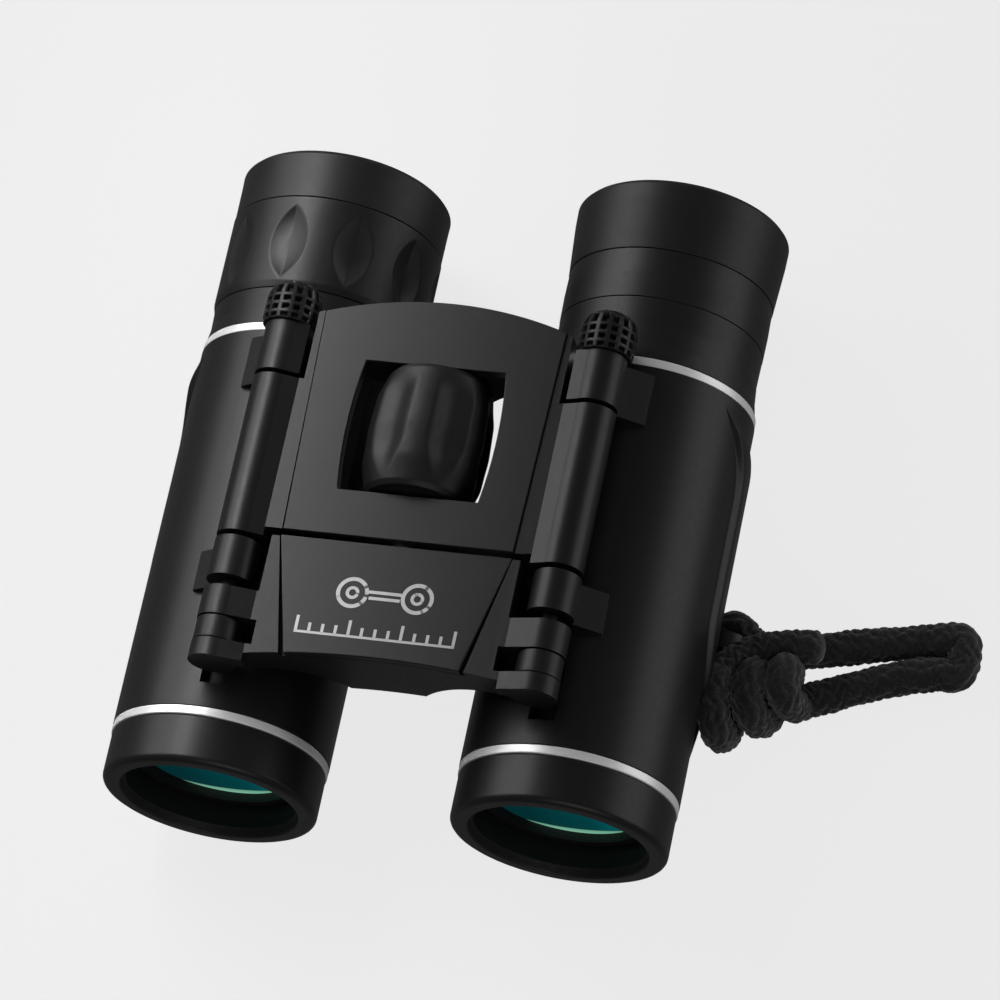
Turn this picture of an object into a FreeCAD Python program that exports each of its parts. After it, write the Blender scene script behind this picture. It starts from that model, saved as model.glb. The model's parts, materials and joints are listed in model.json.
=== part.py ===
"""Compact folding binoculars, lying on their barrels, in millimetres.

+Y runs from the objectives to the eyepieces, +X is the user's left and +Z is up. The origin is on
the surface they lie on, under the middle of the bridge. Each barrel hangs from a hinge pin beside
the bridge. The wheel in the bridge turns a screw that drives the carriage in front of it, and the
carriage carries both objective cells along by their arms.
"""

import FreeCAD, Part
import math
import os

import Sketcher

from FreeCAD import Placement, Rotation, Vector

SIZES = {
    "body_length": 95.0,
    "axis_height": 15.4,
    "barrel_offset": 25.1,
    "barrel_radius": 15.4,
    "shell_wall": 2.0,
    "shell_length": 57.5,
    "bezel_length": 6.8,
    "bezel_radius": 15.2,
    "bezel_bevel": 0.9,
    "trim_width": 1.4,
    "trim_radius": 15.35,
    "opening_radius": 12.0,
    "seat_gap": 0.03,
    "running_gap": 0.05,
    "hinge_offset": 22.8,
    "hinge_height": 34.95,
    "hinge_radius": 3.3,
    "pin_radius": 1.1,
    "crown_across": 0.86,
    "crown_up": 3.13,
    "cheek_inner": 19.0,
    "knuckle_inner": 18.0,
    "lug_inner": 19.2,
    "knob_radius": 3.95,
    "knob_length": 6.5,
    "bridge_top": 37.05,
    "bridge_belly": 25.4,
    "bridge_half_width": 20.5,
    "bridge_front": -14.5,
    "bridge_rear": 21.9,
    "cover_depth": 1.6,
    "cover_front_half": 16.4,
    "cover_rear_half": 17.4,
    "seam_gap": 0.12,
    "groove_width": 1.45,
    "groove_depth": 0.35,
    "lug_notch_half": 18.3,
    "window_front": -7.7,
    "window_rear": 12.0,
    "window_half": 10.7,
    "window_end_half": 10.0,
    "wheel_radius": 8.7,
    "wheel_end_radius": 7.4,
    "wheel_core_radius": 6.0,
    "wheel_length": 18.5,
    "wheel_height": 32.35,
    "screw_radius": 2.0,
    "screw_front": -29.5,
    "screw_rear": 18.6,
    "bush_radius": 2.9,
    "nut_radius": 3.4,
    "nut_length": 8.0,
    "carriage_front": -34.6,
    "carriage_rear": -15.6,
    "carriage_notch_half": 17.7,
    "carriage_pocket_half": 17.1,
    "focus_reach": 3.5,
    "focus_back": 0.8,
    "cell_radius": 13.35,
    "cell_nose_radius": 11.75,
    "lens_radius": 11.1,
    "arm_width": 3.0,
    "arm_length": 3.4,
    "fold_in_angle": 20.0,
    "fold_clearance": 0.7,
    "slot_gap": 0.4,
    "mouth_depth": 2.3,
    "cell_gap": 0.1,
    "pad_height": 0.9,
    "pad_front": -35.5,
    "pad_rear": 16.5,
    "pad_half_angle": 34.0,
    "pad_tilt": 16.0,
    "tab_root": 14.6,
    "tab_neck_half": 3.0,
    "tab_notch_half": 3.9,
    "tab_angle": 38.0,
    "tab_centre": 18.6,
    "tab_radius": 3.8,
    "tab_hole_radius": 2.3,
    "tab_front": -13.0,
    "tab_length": 2.6,
    "cup_radius": 15.3,
    "cup_floor": 42.6,
    "ocular_end": 41.0,
    "left_shoulder": 9.5,
    "left_collar": 7.6,
    "right_neck": 5.6,
    "dioptre_length": 14.5,
    "dioptre_travel": 1.25,
    "sleeve_radius": 13.1,
    "ocular_bore": 11.9,
    "drive_pin_radius": 1.0,
    "cord_radius": 2.0,
    "hank_start": 38.5,
    "hank_end": 54.5,
    "hank_front": -28.6,
    "hank_rear": -7.6,
    "hank_height": 13.0,
    "hank_round": 4.2,
    "knot_radius": 2.9,
}

SIDES = {"left": 1, "right": -1}
ALONG_Y = Rotation(Vector(1, 0, 0), -90)


# ---- the sheet, and sizes worked out from it ----

doc = FreeCAD.newDocument("Binoculars")
sheet = doc.addObject("Spreadsheet::Sheet", "Sheet")
for row, (alias, number) in enumerate(SIZES.items(), start=1):
    sheet.set(f"A{row}", alias)
    sheet.set(f"B{row}", str(number))
    sheet.setAlias(f"B{row}", alias)
doc.recompute()


class Size:
    """A length or an angle worked out from the sheet: its value, and the formula that gives it."""

    def __init__(self, formula, value):
        self.formula = formula
        self.value = value

    def __add__(self, other):
        other = size(other)
        return Size(f"({self.formula} + {other.formula})", self.value + other.value)

    def __sub__(self, other):
        other = size(other)
        return Size(f"({self.formula} - {other.formula})", self.value - other.value)

    def __mul__(self, other):
        other = size(other)
        return Size(f"({self.formula} * {other.formula})", self.value * other.value)

    def __truediv__(self, other):
        other = size(other)
        return Size(f"({self.formula} / {other.formula})", self.value / other.value)

    def __neg__(self):
        return size(0) - self

    __radd__ = __add__
    __rmul__ = __mul__

    def __rsub__(self, other):
        return size(other) - self


def size(number):
    """A plain number as a Size, and a Size as it is."""
    return number if isinstance(number, Size) else Size(f"{number:g}", float(number))


def cosine(angle):
    return Size(f"cos({angle.formula})", math.cos(math.radians(angle.value)))


def sine(angle):
    return Size(f"sin({angle.formula})", math.sin(math.radians(angle.value)))


def cell(alias):
    return Size(f"Sheet.{alias}", float(sheet.get(alias)))


class Sheet:
    """The sheet's cells by name."""

    def __getattr__(self, alias):
        return cell(alias)


s = Sheet()

# Stations along the barrel.
FRONT = -s.body_length / 2
REAR = s.body_length / 2
TRIM_FRONT = FRONT + s.bezel_length
SHELL_FRONT = TRIM_FRONT + s.trim_width
SHELL_REAR = SHELL_FRONT + s.shell_length
EYEPIECE_FRONT = SHELL_REAR + s.trim_width
SHELL_BORE = s.barrel_radius - s.shell_wall
SHELL_MOUTH = SHELL_BORE + 1.0

# Stations of the hinge, from the carriage's front knuckle to the knob.
FRONT_KNUCKLE = (s.carriage_front, size(-32.0))
ARM_RING = (size(-31.9), size(-31.9) + s.arm_length)
REAR_KNUCKLE = (size(-28.4), size(-24.8))
FRONT_LUG = (size(-22.5), size(-16.6))
HINGE_TUBE = (size(-15.8), size(8.3))
REAR_LUG = (size(9.0), size(16.6))
KNOB_FRONT = size(16.7)
PIN_FRONT = size(-33.1)
PIN_REAR = size(21.4)

# The line from the hinge pin down to the barrel's axis.
HINGE_ACROSS = s.barrel_offset - s.hinge_offset
HINGE_UP = s.hinge_height - s.axis_height
HINGE_REACH = Size(
    f"sqrt({HINGE_ACROSS.formula} ^ 2 + {HINGE_UP.formula} ^ 2)",
    math.hypot(HINGE_ACROSS.value, HINGE_UP.value),
)
HINGE_ANGLE = Size(
    f"(atan({HINGE_ACROSS.formula} / {HINGE_UP.formula}) / 1 deg)",
    math.degrees(math.atan2(HINGE_ACROSS.value, HINGE_UP.value)),
)


# ---- building blocks ----

nodes = []


def bind(item, path, number):
    item.setExpression(path, size(number).formula)


def put(item, x=0, y=0, z=0, turn=None):
    """Places an object, turned first, at a point given in sizes."""
    item.Placement = Placement(Vector(0, 0, 0), turn or Rotation())
    for axis, number in zip("xyz", (x, y, z)):
        bind(item, f"Placement.Base.{axis}", number)
    return item


def node(item, name):
    """Marks an object as a finished sub-part and gives it the sub-part's name."""
    item.Label = name
    nodes.append(item)
    return item


def rod(radius, start, end, x=0, z=0):
    """A cylinder along Y."""
    item = doc.addObject("Part::Cylinder", "Rod")
    bind(item, "Radius", radius)
    bind(item, "Height", size(end) - start)
    return put(item, x, start, z, ALONG_Y)


def post(radius, x, y, low, high):
    """A cylinder along Z."""
    item = doc.addObject("Part::Cylinder", "Post")
    bind(item, "Radius", radius)
    bind(item, "Height", size(high) - low)
    return put(item, x, y, low)


def ball(radius, x, y, z):
    item = doc.addObject("Part::Sphere", "Ball")
    bind(item, "Radius", radius)
    return put(item, x, y, z)


def block(x, y, z):
    """A box between two sizes along each axis."""
    item = doc.addObject("Part::Box", "Block")
    for side, (low, high) in zip(("Length", "Width", "Height"), (x, y, z)):
        bind(item, side, size(high) - low)
    return put(item, x[0], y[0], z[0])


def joined(*items):
    item = doc.addObject("Part::MultiFuse", "Joined")
    item.Shapes = list(items)
    return item


def shared(*items):
    item = doc.addObject("Part::MultiCommon", "Shared")
    item.Shapes = list(items)
    return item


def cut(base, *tools):
    item = doc.addObject("Part::Cut", "Trimmed")
    item.Base = base
    item.Tool = tools[0] if len(tools) == 1 else joined(*tools)
    return item


def rounded(base, radius, wanted):
    """The base with the edges that wanted(edge) picks rounded off."""
    doc.recompute()
    item = doc.addObject("Part::Fillet", "Rounded")
    item.Base = base
    edges = enumerate(base.Shape.Edges, start=1)
    item.Edges = [(number, radius.value, radius.value) for number, edge in edges if wanted(edge)]
    return item


def runs_level(edge):
    """Whether an edge lies level, as the edges of a slab's top and bottom do."""
    return abs(edge.tangentAt(edge.FirstParameter).z) < 0.1


def draw(sketch, corners):
    """Draws a closed outline of straight lines, each corner held to its two sizes."""
    points = [Vector(size(a).value, size(b).value, 0) for a, b in corners]
    for start, end in zip(points, points[1:] + points[:1]):
        sketch.addGeometry(Part.LineSegment(start, end))
    for line, (across, up) in enumerate(corners):
        before = line - 1 if line else len(points) - 1
        sketch.addConstraint(Sketcher.Constraint("Coincident", before, 2, line, 1))
        for kind, number, axis in (("DistanceX", across, -2), ("DistanceY", up, -1)):
            number = size(number)
            if abs(number.value) < 1e-9:
                sketch.addConstraint(Sketcher.Constraint("PointOnObject", line, 1, axis))
                continue
            held = sketch.addConstraint(Sketcher.Constraint(kind, -1, 1, line, 1, number.value))
            sketch.setExpression(f"Constraints[{held}]", number.formula)


def turned(corners, side=0, z=s.axis_height):
    """A body turned about an axis along Y, from (radius, station) corners."""
    body = doc.addObject("PartDesign::Body", "Turned")
    sketch = body.newObject("Sketcher::SketchObject", "Outline")
    plane = next(f for f in body.Origin.OriginFeatures if f.Role == "XY_Plane")
    sketch.AttachmentSupport = [(plane, "")]
    sketch.MapMode = "FlatFace"
    draw(sketch, corners)
    turn = body.newObject("PartDesign::Revolution", "Turn")
    turn.Profile = sketch
    turn.ReferenceAxis = (sketch, ["V_Axis"])
    turn.Angle = 360
    return put(body, side * s.barrel_offset, 0, z)


def ring(inner, outer, start, end, side=0, z=s.axis_height):
    return turned([(inner, start), (outer, start), (outer, end), (inner, end)], side, z)


SLAB_TURNS = {
    "X": Rotation(Vector(1, 1, 1), 120),
    "Y": Rotation(Vector(1, 0, 0), 90),
    "Z": Rotation(),
}
SLAB_AXES = {"X": Vector(1, 0, 0), "Y": Vector(0, 1, 0), "Z": Vector(0, 0, 1)}


def slab(corners, along, start, end):
    """A flat outline pushed from start to end along one axis. It is drawn as (Y, Z), (X, Z) or (X, Y)."""
    sketch = doc.addObject("Sketcher::SketchObject", "Outline")
    draw(sketch, corners)
    where = {along.lower(): start}
    put(sketch, turn=SLAB_TURNS[along], **where)
    item = doc.addObject("Part::Extrusion", "Slab")
    item.Base = sketch
    item.DirMode = "Custom"
    item.Dir = SLAB_AXES[along]
    item.Solid = True
    bind(item, "LengthFwd", size(end) - start)
    return item


# ---- the barrels ----


def fold_clearance(side, start, end):
    """The space that a barrel sweeps when it is folded all the way in."""
    angle = HINGE_ANGLE - s.fold_in_angle
    x = side * (s.hinge_offset + HINGE_REACH * sine(angle))
    z = s.hinge_height - HINGE_REACH * cosine(angle)
    return rod(s.barrel_radius + s.fold_clearance, start, end, x, z)


def hinge_rod(side, radius, start, end):
    return rod(radius, start, end, side * s.hinge_offset, s.hinge_height)


def cheek(side, inner, span):
    """The slope from a hinge barrel's crown down to the bridge's flat top, on the inner side of the pin."""
    corners = [
        (side * inner, s.hinge_height),
        (side * inner, s.bridge_top),
        (side * (s.hinge_offset - s.crown_across), s.hinge_height + s.crown_up),
        (side * s.hinge_offset, s.hinge_height),
    ]
    return slab(corners, "Y", *span)


def lug(side, span):
    """A hinge knuckle with the foot that joins it to the barrel."""
    inner = 3.0
    foot_out = 6.4
    foot_top = 4.0
    reach = 7.5
    corners = [
        (side * (s.hinge_offset - inner), s.hinge_height - 0.4),
        (side * (s.hinge_offset - inner + 0.8), s.hinge_height - reach),
        (side * (s.hinge_offset + foot_out), s.hinge_height - reach),
        (side * (s.hinge_offset + foot_out), s.hinge_height - foot_top),
        (side * (s.hinge_offset + 3.8), s.hinge_height - 2.4),
        (side * s.hinge_offset, s.hinge_height),
    ]
    return joined(slab(corners, "Y", *span), hinge_rod(side, s.hinge_radius, *span))


def on_barrel(item, side, radial, start, angle, across):
    """Places a box with its X along the radius at an angle below the horizontal, outwards."""
    turn = Rotation(Vector(0, 1, 0), angle.value if side > 0 else 180 - angle.value)
    down = sine(angle)
    out = cosine(angle)
    x = side * (s.barrel_offset + radial * out - across * down)
    z = s.axis_height - radial * down - across * out
    if side < 0:
        x = side * (s.barrel_offset + radial * out + across * down)
        z = s.axis_height - radial * down + across * out
    return put(item, x, start, z, turn)


def radial_block(side, radial, half_width, start, end, angle):
    """A box that stands out of a barrel along a radius."""
    item = doc.addObject("Part::Box", "Block")
    bind(item, "Length", size(radial[1]) - radial[0])
    bind(item, "Width", size(end) - start)
    bind(item, "Height", size(half_width) * 2)
    return on_barrel(item, side, size(radial[0]), start, angle, size(half_width))


def tab_rod(side, radius, start, end):
    """A cylinder about the strap tab's hole."""
    x = side * (s.barrel_offset + s.tab_centre * cosine(s.tab_angle))
    z = s.axis_height - s.tab_centre * sine(s.tab_angle)
    return rod(radius, start, end, x, z)


def hinge_block(side, near, far, half_width, start, end):
    """A box along the line between the barrel's axis and the hinge pin, near to far from the axis."""
    item = doc.addObject("Part::Box", "Block")
    bind(item, "Length", half_width * 2)
    bind(item, "Width", size(end) - start)
    bind(item, "Height", size(far) - near)
    tilt = side * HINGE_ANGLE
    turn = Rotation(Vector(0, 1, 0), -tilt.value)
    x = side * s.barrel_offset - near * sine(tilt) - half_width * cosine(tilt)
    z = s.axis_height + near * cosine(tilt) - half_width * sine(tilt)
    return put(item, x, start, z, turn)


def barrel_shell(name, side):
    """The tube with its two hinge lugs, the strap tab and the slot for the focusing arm."""
    axis = (side * s.barrel_offset, s.axis_height)
    tab_end = s.tab_front + s.tab_length
    body = joined(
        rod(s.barrel_radius, SHELL_FRONT, SHELL_REAR, *axis),
        lug(side, FRONT_LUG),
        lug(side, REAR_LUG),
        cheek(side, s.lug_inner, REAR_LUG),
        tab_rod(side, s.tab_radius, s.tab_front, tab_end),
        radial_block(
            side, (s.tab_root, s.tab_centre), s.tab_neck_half, s.tab_front, tab_end, s.tab_angle
        ),
    )
    slot_start = ARM_RING[0] - s.focus_reach - s.slot_gap
    slot_end = ARM_RING[1] + s.focus_back + s.slot_gap
    slot_half = s.arm_width / 2 + s.slot_gap
    slot_low = SHELL_BORE - 0.9
    slot_high = s.barrel_radius + 1.6
    hollow = [
        rod(SHELL_BORE, SHELL_FRONT, SHELL_REAR, *axis),
        rod(SHELL_MOUTH, SHELL_FRONT, SHELL_FRONT + s.mouth_depth, *axis),
        hinge_block(side, slot_low, slot_high, slot_half, slot_start, slot_end),
        hinge_rod(side, s.pin_radius + s.running_gap, FRONT_LUG[0], REAR_LUG[1]),
        tab_rod(side, s.tab_hole_radius, s.tab_front, tab_end),
    ]
    node(cut(body, *hollow), f"{name}_barrel_shell")


def front_bezel(name, side):
    """The ring at the front, with the opening that the objective looks out of."""
    spigot = SHELL_MOUTH - s.seat_gap
    spigot_end = SHELL_FRONT + s.mouth_depth - 0.1
    cell_bore = s.cell_radius + s.cell_gap
    step = FRONT + s.bezel_length - 0.9
    corners = [
        (s.opening_radius + s.bezel_bevel, FRONT),
        (s.bezel_radius - s.bezel_bevel, FRONT),
        (s.bezel_radius, FRONT + s.bezel_bevel),
        (s.bezel_radius, TRIM_FRONT),
        (spigot, TRIM_FRONT),
        (spigot, spigot_end),
        (cell_bore, spigot_end),
        (cell_bore, step),
        (s.opening_radius, step),
        (s.opening_radius, FRONT + s.bezel_bevel + 0.2),
    ]
    node(turned(corners, side), f"{name}_front_bezel")


def trim_rings(name, side):
    gap = s.seat_gap
    inner = SHELL_MOUTH + gap
    front = ring(inner, s.trim_radius, TRIM_FRONT + gap, SHELL_FRONT - gap, side)
    node(front, f"{name}_front_trim_ring")
    rear = ring(SHELL_BORE + gap, s.trim_radius, SHELL_REAR + gap, EYEPIECE_FRONT - gap, side)
    node(rear, f"{name}_rear_trim_ring")


def grip_pad(name, side):
    """The raised pad on the outer side, pointed at both ends, notched round the strap tab."""
    outer = s.barrel_radius + s.pad_height
    middle = (s.pad_front + s.pad_rear) / 2
    half_height = outer * sine(s.pad_half_angle)
    half_length = (s.pad_rear - s.pad_front) / 2
    shoulder = half_length * 0.55
    corners = [
        (s.pad_front, 0),
        (middle - shoulder, half_height),
        (middle + shoulder, half_height),
        (s.pad_rear, 0),
        (middle + shoulder, -half_height),
        (middle - shoulder, -half_height),
    ]
    outline = slab(corners, "X", 0, outer + 1)
    # The outline stands on the radius in the middle of the pad, so the tube it cuts is turned to it.
    blank = shared(outline, rod(outer, s.pad_front, s.pad_rear))
    hollow = rod(s.barrel_radius + s.seat_gap, s.pad_front, s.pad_rear)
    plain = cut(blank, hollow)
    turn = Rotation(Vector(0, 1, 0), s.pad_tilt.value if side > 0 else 180 - s.pad_tilt.value)
    put(plain, side * s.barrel_offset, 0, s.axis_height, turn)
    notch_depth = (s.barrel_radius - 0.4, outer + 0.7)
    notch_front = s.tab_front - 0.5
    notch_rear = s.tab_front + s.tab_length + 0.5
    notch = radial_block(
        side, notch_depth, s.tab_notch_half, notch_front, notch_rear, s.tab_angle
    )
    node(cut(plain, notch), f"{name}_grip_pad")


def prisms(name, side):
    """The roof-prism pair in its cage, and the ring that keeps them in."""
    x = side * s.barrel_offset
    cage_front = size(-17.0)
    cage_rear = size(10.0)
    pocket_half = 7.6
    pocket_up = 9.4
    cage = rod(SHELL_BORE - s.seat_gap, cage_front, cage_rear, x, s.axis_height)
    pocket = block(
        (x - pocket_half, x + pocket_half),
        (cage_front, cage_rear),
        (s.axis_height - pocket_up, s.axis_height + pocket_up),
    )
    node(cut(cage, pocket), f"{name}_prism_cage")
    low = s.axis_height - 9.2
    high = s.axis_height + 8.8
    nose = -14.5
    nose_low = s.axis_height - 4.2
    first_toe = (-9.5, -9.3)
    first_heel = 8.6
    second_toe = -8.9
    second_heel = (9.4, 9.1)
    half = 7.2
    first = [(nose, high), (nose, nose_low), (first_toe[0], low), (first_toe[1], low), (first_heel, high)]
    node(slab(first, "X", x - half, x + half), f"{name}_half_penta_prism")
    second = [(second_toe, low), (second_heel[0], low), (second_heel[0], high), (second_heel[1], high)]
    wedge = slab(second, "X", x - half, x + half)
    eaves = low + 7.0
    gable = [(x - half, high), (x + half, high), (x + half, eaves), (x, low), (x - half, eaves)]
    house = slab(gable, "Y", second_toe - 0.6, second_heel[0] + 0.2)
    node(shared(wedge, house), f"{name}_roof_prism")
    keeper_bore = size(7.0)
    keeper = ring(keeper_bore, SHELL_BORE - s.seat_gap, cage_rear + 0.05, cage_rear + 1.2, side)
    node(keeper, f"{name}_prism_retainer")


def lens(side, radius, front, rear, front_bulge, rear_bulge):
    """A lens with a rim from front to rear, and faces that bulge past it."""
    x = side * s.barrel_offset
    blank = rod(radius, front - front_bulge, rear + rear_bulge, x, s.axis_height)
    front_ball = (radius * radius + front_bulge * front_bulge) / (2 * front_bulge)
    rear_ball = (radius * radius + rear_bulge * rear_bulge) / (2 * rear_bulge)
    return shared(
        blank,
        ball(front_ball, x, front - front_bulge + front_ball, s.axis_height),
        ball(rear_ball, x, rear + rear_bulge - rear_ball, s.axis_height),
    )


def objective(name, side):
    """The sliding cell with its lens and retainer, and the arm that the carriage pulls."""
    nose = FRONT + 4.5
    land = FRONT + 10.6
    end = land + 10.4
    seat = s.lens_radius + s.seat_gap
    corners = [
        (seat, nose),
        (s.cell_nose_radius, nose),
        (s.cell_nose_radius, land),
        (s.cell_radius, land),
        (s.cell_radius, end),
        (size(11.6), end),
        (size(11.6), land + 0.6),
        (size(10.5), land + 0.6),
        (size(10.5), nose + 4.6),
        (seat, nose + 4.6),
    ]
    node(turned(corners, side), f"{name}_objective_cell")
    glass = lens(side, s.lens_radius, nose + 1.5, nose + 4.5, size(1.0), size(0.4))
    node(glass, f"{name}_objective_lens")
    keeper = ring(s.lens_radius - 0.35, s.lens_radius - s.seat_gap, nose + 0.1, nose + 1.4, side)
    node(keeper, f"{name}_objective_retainer")
    arm = joined(
        hinge_block(side, s.cell_radius + 0.01, HINGE_REACH, s.arm_width / 2, *ARM_RING),
        hinge_rod(side, s.hinge_radius - 0.1, *ARM_RING),
    )
    bore = hinge_rod(side, s.pin_radius + s.running_gap, *ARM_RING)
    node(cut(arm, bore), f"{name}_focus_arm")


def ocular(name, side):
    """The eye-end optics in their own cell."""
    outer = s.ocular_bore - s.running_gap
    start = EYEPIECE_FRONT + 2.4
    end = s.ocular_end
    corners = [
        (size(8.2), start),
        (outer, start),
        (outer, end),
        (size(8.9), end),
        (size(8.9), end - 4.2),
        (size(7.8), end - 4.2),
        (size(7.8), start + 5.0),
        (size(9.6), start + 5.0),
        (size(9.6), start + 1.4),
        (size(8.2), start + 1.4),
    ]
    node(turned(corners, side), f"{name}_ocular_cell")
    node(lens(side, size(9.5), start + 2.0, start + 3.8, size(0.5), size(0.9)), f"{name}_field_lens")
    node(lens(side, size(8.8), end - 3.9, end - 1.9, size(0.3), size(0.7)), f"{name}_eye_lens")
    keeper = ring(size(8.0), size(8.85), end - 1.75, end - 0.1, side)
    node(keeper, f"{name}_ocular_retainer")


def eyecup(name, side, start, neck):
    """The rubber cup round the eye lens."""
    inner = s.sleeve_radius + s.seat_gap
    floor = s.cup_floor
    rim = s.cup_radius
    corners = [
        (inner, start),
        (neck, start),
        (rim - 0.05, start + (REAR - start) * 0.7),
        (rim, REAR - 0.8),
        (rim - 0.7, REAR),
        (rim - 1.9, REAR),
        (rim - 2.5, REAR - 0.7),
        (size(11.4), floor + 0.9),
        (size(9.3), floor + 0.9),
        (size(9.3), floor),
        (inner, floor),
    ]
    node(turned(corners, side), f"{name}_eyecup")


def left_eyepiece():
    """The fixed eyepiece: a waisted shoulder, a plain collar and the cup."""
    collar_front = EYEPIECE_FRONT + s.left_shoulder
    cup_front = collar_front + s.left_collar
    gap = s.seat_gap
    corners = [
        (SHELL_BORE - gap, SHELL_REAR - 6.0),
        (SHELL_BORE - gap, EYEPIECE_FRONT),
        (size(15.2), EYEPIECE_FRONT),
        (size(14.75), EYEPIECE_FRONT + 2.4),
        (size(14.5), EYEPIECE_FRONT + 5.4),
        (size(14.6), collar_front),
        (s.sleeve_radius, collar_front),
        (s.sleeve_radius, s.cup_floor - 0.1),
        (s.ocular_bore, s.cup_floor - 0.1),
        (s.ocular_bore, SHELL_REAR - 6.0),
    ]
    node(turned(corners, 1), "left_eyepiece_housing")
    collar = ring(s.sleeve_radius + gap, size(14.65), collar_front + 0.05, cup_front - 0.05, 1)
    node(collar, "left_collar_ring")
    eyecup("left", 1, cup_front, size(14.75))


def right_eyepiece():
    """The adjustable eyepiece: the dioptre ring turns, and its pin moves the ocular cell."""
    ring_front = EYEPIECE_FRONT + s.right_neck
    ring_rear = ring_front + s.dioptre_length
    middle = ring_front + s.dioptre_length / 2
    gap = s.seat_gap
    slot_reach = s.dioptre_travel + s.drive_pin_radius + 0.2
    corners = [
        (SHELL_BORE - gap, SHELL_REAR - 6.0),
        (SHELL_BORE - gap, EYEPIECE_FRONT),
        (size(15.2), EYEPIECE_FRONT),
        (size(14.8), EYEPIECE_FRONT + 2.4),
        (size(14.75), ring_front),
        (s.sleeve_radius, ring_front),
        (s.sleeve_radius, s.cup_floor - 0.1),
        (s.ocular_bore, s.cup_floor - 0.1),
        (s.ocular_bore, SHELL_REAR - 6.0),
    ]
    slot = block(
        (-s.barrel_offset - s.drive_pin_radius - 0.2, -s.barrel_offset + s.drive_pin_radius + 0.2),
        (middle - slot_reach, middle + slot_reach),
        (s.axis_height + s.ocular_bore - 1, s.axis_height + s.sleeve_radius + 1),
    )
    node(cut(turned(corners, -1), slot), "right_eyepiece_housing")
    bore = s.sleeve_radius + s.running_gap
    ring_corners = [
        (bore, ring_front + 0.1),
        (s.cup_radius - 0.3, ring_front + 0.1),
        (s.cup_radius, ring_front + 0.7),
        (s.cup_radius, ring_rear - 0.1),
        (bore, ring_rear - 0.1),
        (bore, middle + slot_reach),
        (bore + 1.0, middle + slot_reach),
        (bore + 1.0, middle - slot_reach),
        (bore, middle - slot_reach),
    ]
    node(turned(ring_corners, -1), "dioptre_ring")
    pin_low = s.axis_height + s.ocular_bore - s.running_gap + 0.02
    pin_high = s.axis_height + s.sleeve_radius + 0.8
    node(post(s.drive_pin_radius, -s.barrel_offset, middle, pin_low, pin_high), "drive_pin")
    eyecup("right", -1, ring_rear + 0.1, s.cup_radius - 0.1)


# ---- the bridge ----


def cover_outline(grow):
    """The cover plate's outline, wider towards the eyepieces, grown by a gap all round."""
    front = s.cover_front_half + grow
    rear = s.cover_rear_half + grow
    far = s.bridge_rear + 0.6
    return [(-front, s.bridge_front - 0.01), (front, s.bridge_front - 0.01), (rear, far), (-rear, far)]


def rear_arc(height):
    """The big upright cylinder whose edge rounds the bridge's rear."""
    half_chord = 16.0
    drop = 2.4
    radius = size((half_chord**2 + drop**2) / (2 * drop))
    return post(radius, 0, s.bridge_rear - radius, *height)


def bridge_frame():
    """The casting with both hinge tubes, open in the middle for the focus wheel."""
    floor = s.bridge_belly
    top = s.bridge_top
    wide = s.bridge_half_width
    seat = top - s.cover_depth
    window_front = s.window_front - 0.4
    window_rear = s.window_rear + 0.4
    plate = shared(
        block((-wide, wide), (s.bridge_front, s.bridge_rear), (floor, top)),
        rear_arc((floor - 1, top + 1)),
    )
    groove_in = s.cover_front_half + s.seam_gap
    groove_out = groove_in + s.groove_width
    flare = s.cover_rear_half - s.cover_front_half
    far = s.bridge_rear + 0.6
    groove = [
        (groove_in - 0.05, s.bridge_front - 1),
        (groove_out, s.bridge_front - 1),
        (groove_out + flare, far),
        (groove_in + flare - 0.05, far),
    ]
    tools = [
        slab(cover_outline(s.seam_gap), "Z", seat, top + 1),
        slab(groove, "Z", top - s.groove_depth, top + 1),
        block((-10.9, 10.9), (window_front, window_rear), (floor - 1, top + 1)),
    ]
    for side in SIDES.values():
        tools.append(fold_clearance(side, s.bridge_front - 2, s.bridge_rear + 1))
        outer = (s.lug_notch_half, wide + 1)
        if side < 0:
            outer = (-wide - 1, -s.lug_notch_half)
        tools.append(block(outer, (HINGE_TUBE[1], s.bridge_rear + 1), (floor, top + 1)))
    web = cut(plate, *tools)
    tubes = []
    bores = []
    for side in SIDES.values():
        tubes.append(hinge_rod(side, s.hinge_radius, *HINGE_TUBE))
        tubes.append(cheek(side, s.cheek_inner, HINGE_TUBE))
        bores.append(hinge_rod(side, s.pin_radius + s.seat_gap, *HINGE_TUBE))
    seats = rod(s.bush_radius, s.bridge_front - 1, s.bridge_rear + 1, 0, s.wheel_height)
    holes = [post(size(0.93), x, y, floor - 1, seat + 0.2) for x, y in COVER_SCREWS]
    heads = [post(size(1.9), x, y, floor - 6, seat - 3.0) for x, y in COVER_SCREWS]
    node(cut(joined(web, *tubes), *bores, seats, *holes, *heads), "bridge_frame")


COVER_SCREWS = [(x, y) for y in (-11.2, 15.8) for x in (-13.4, 13.4)]


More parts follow.
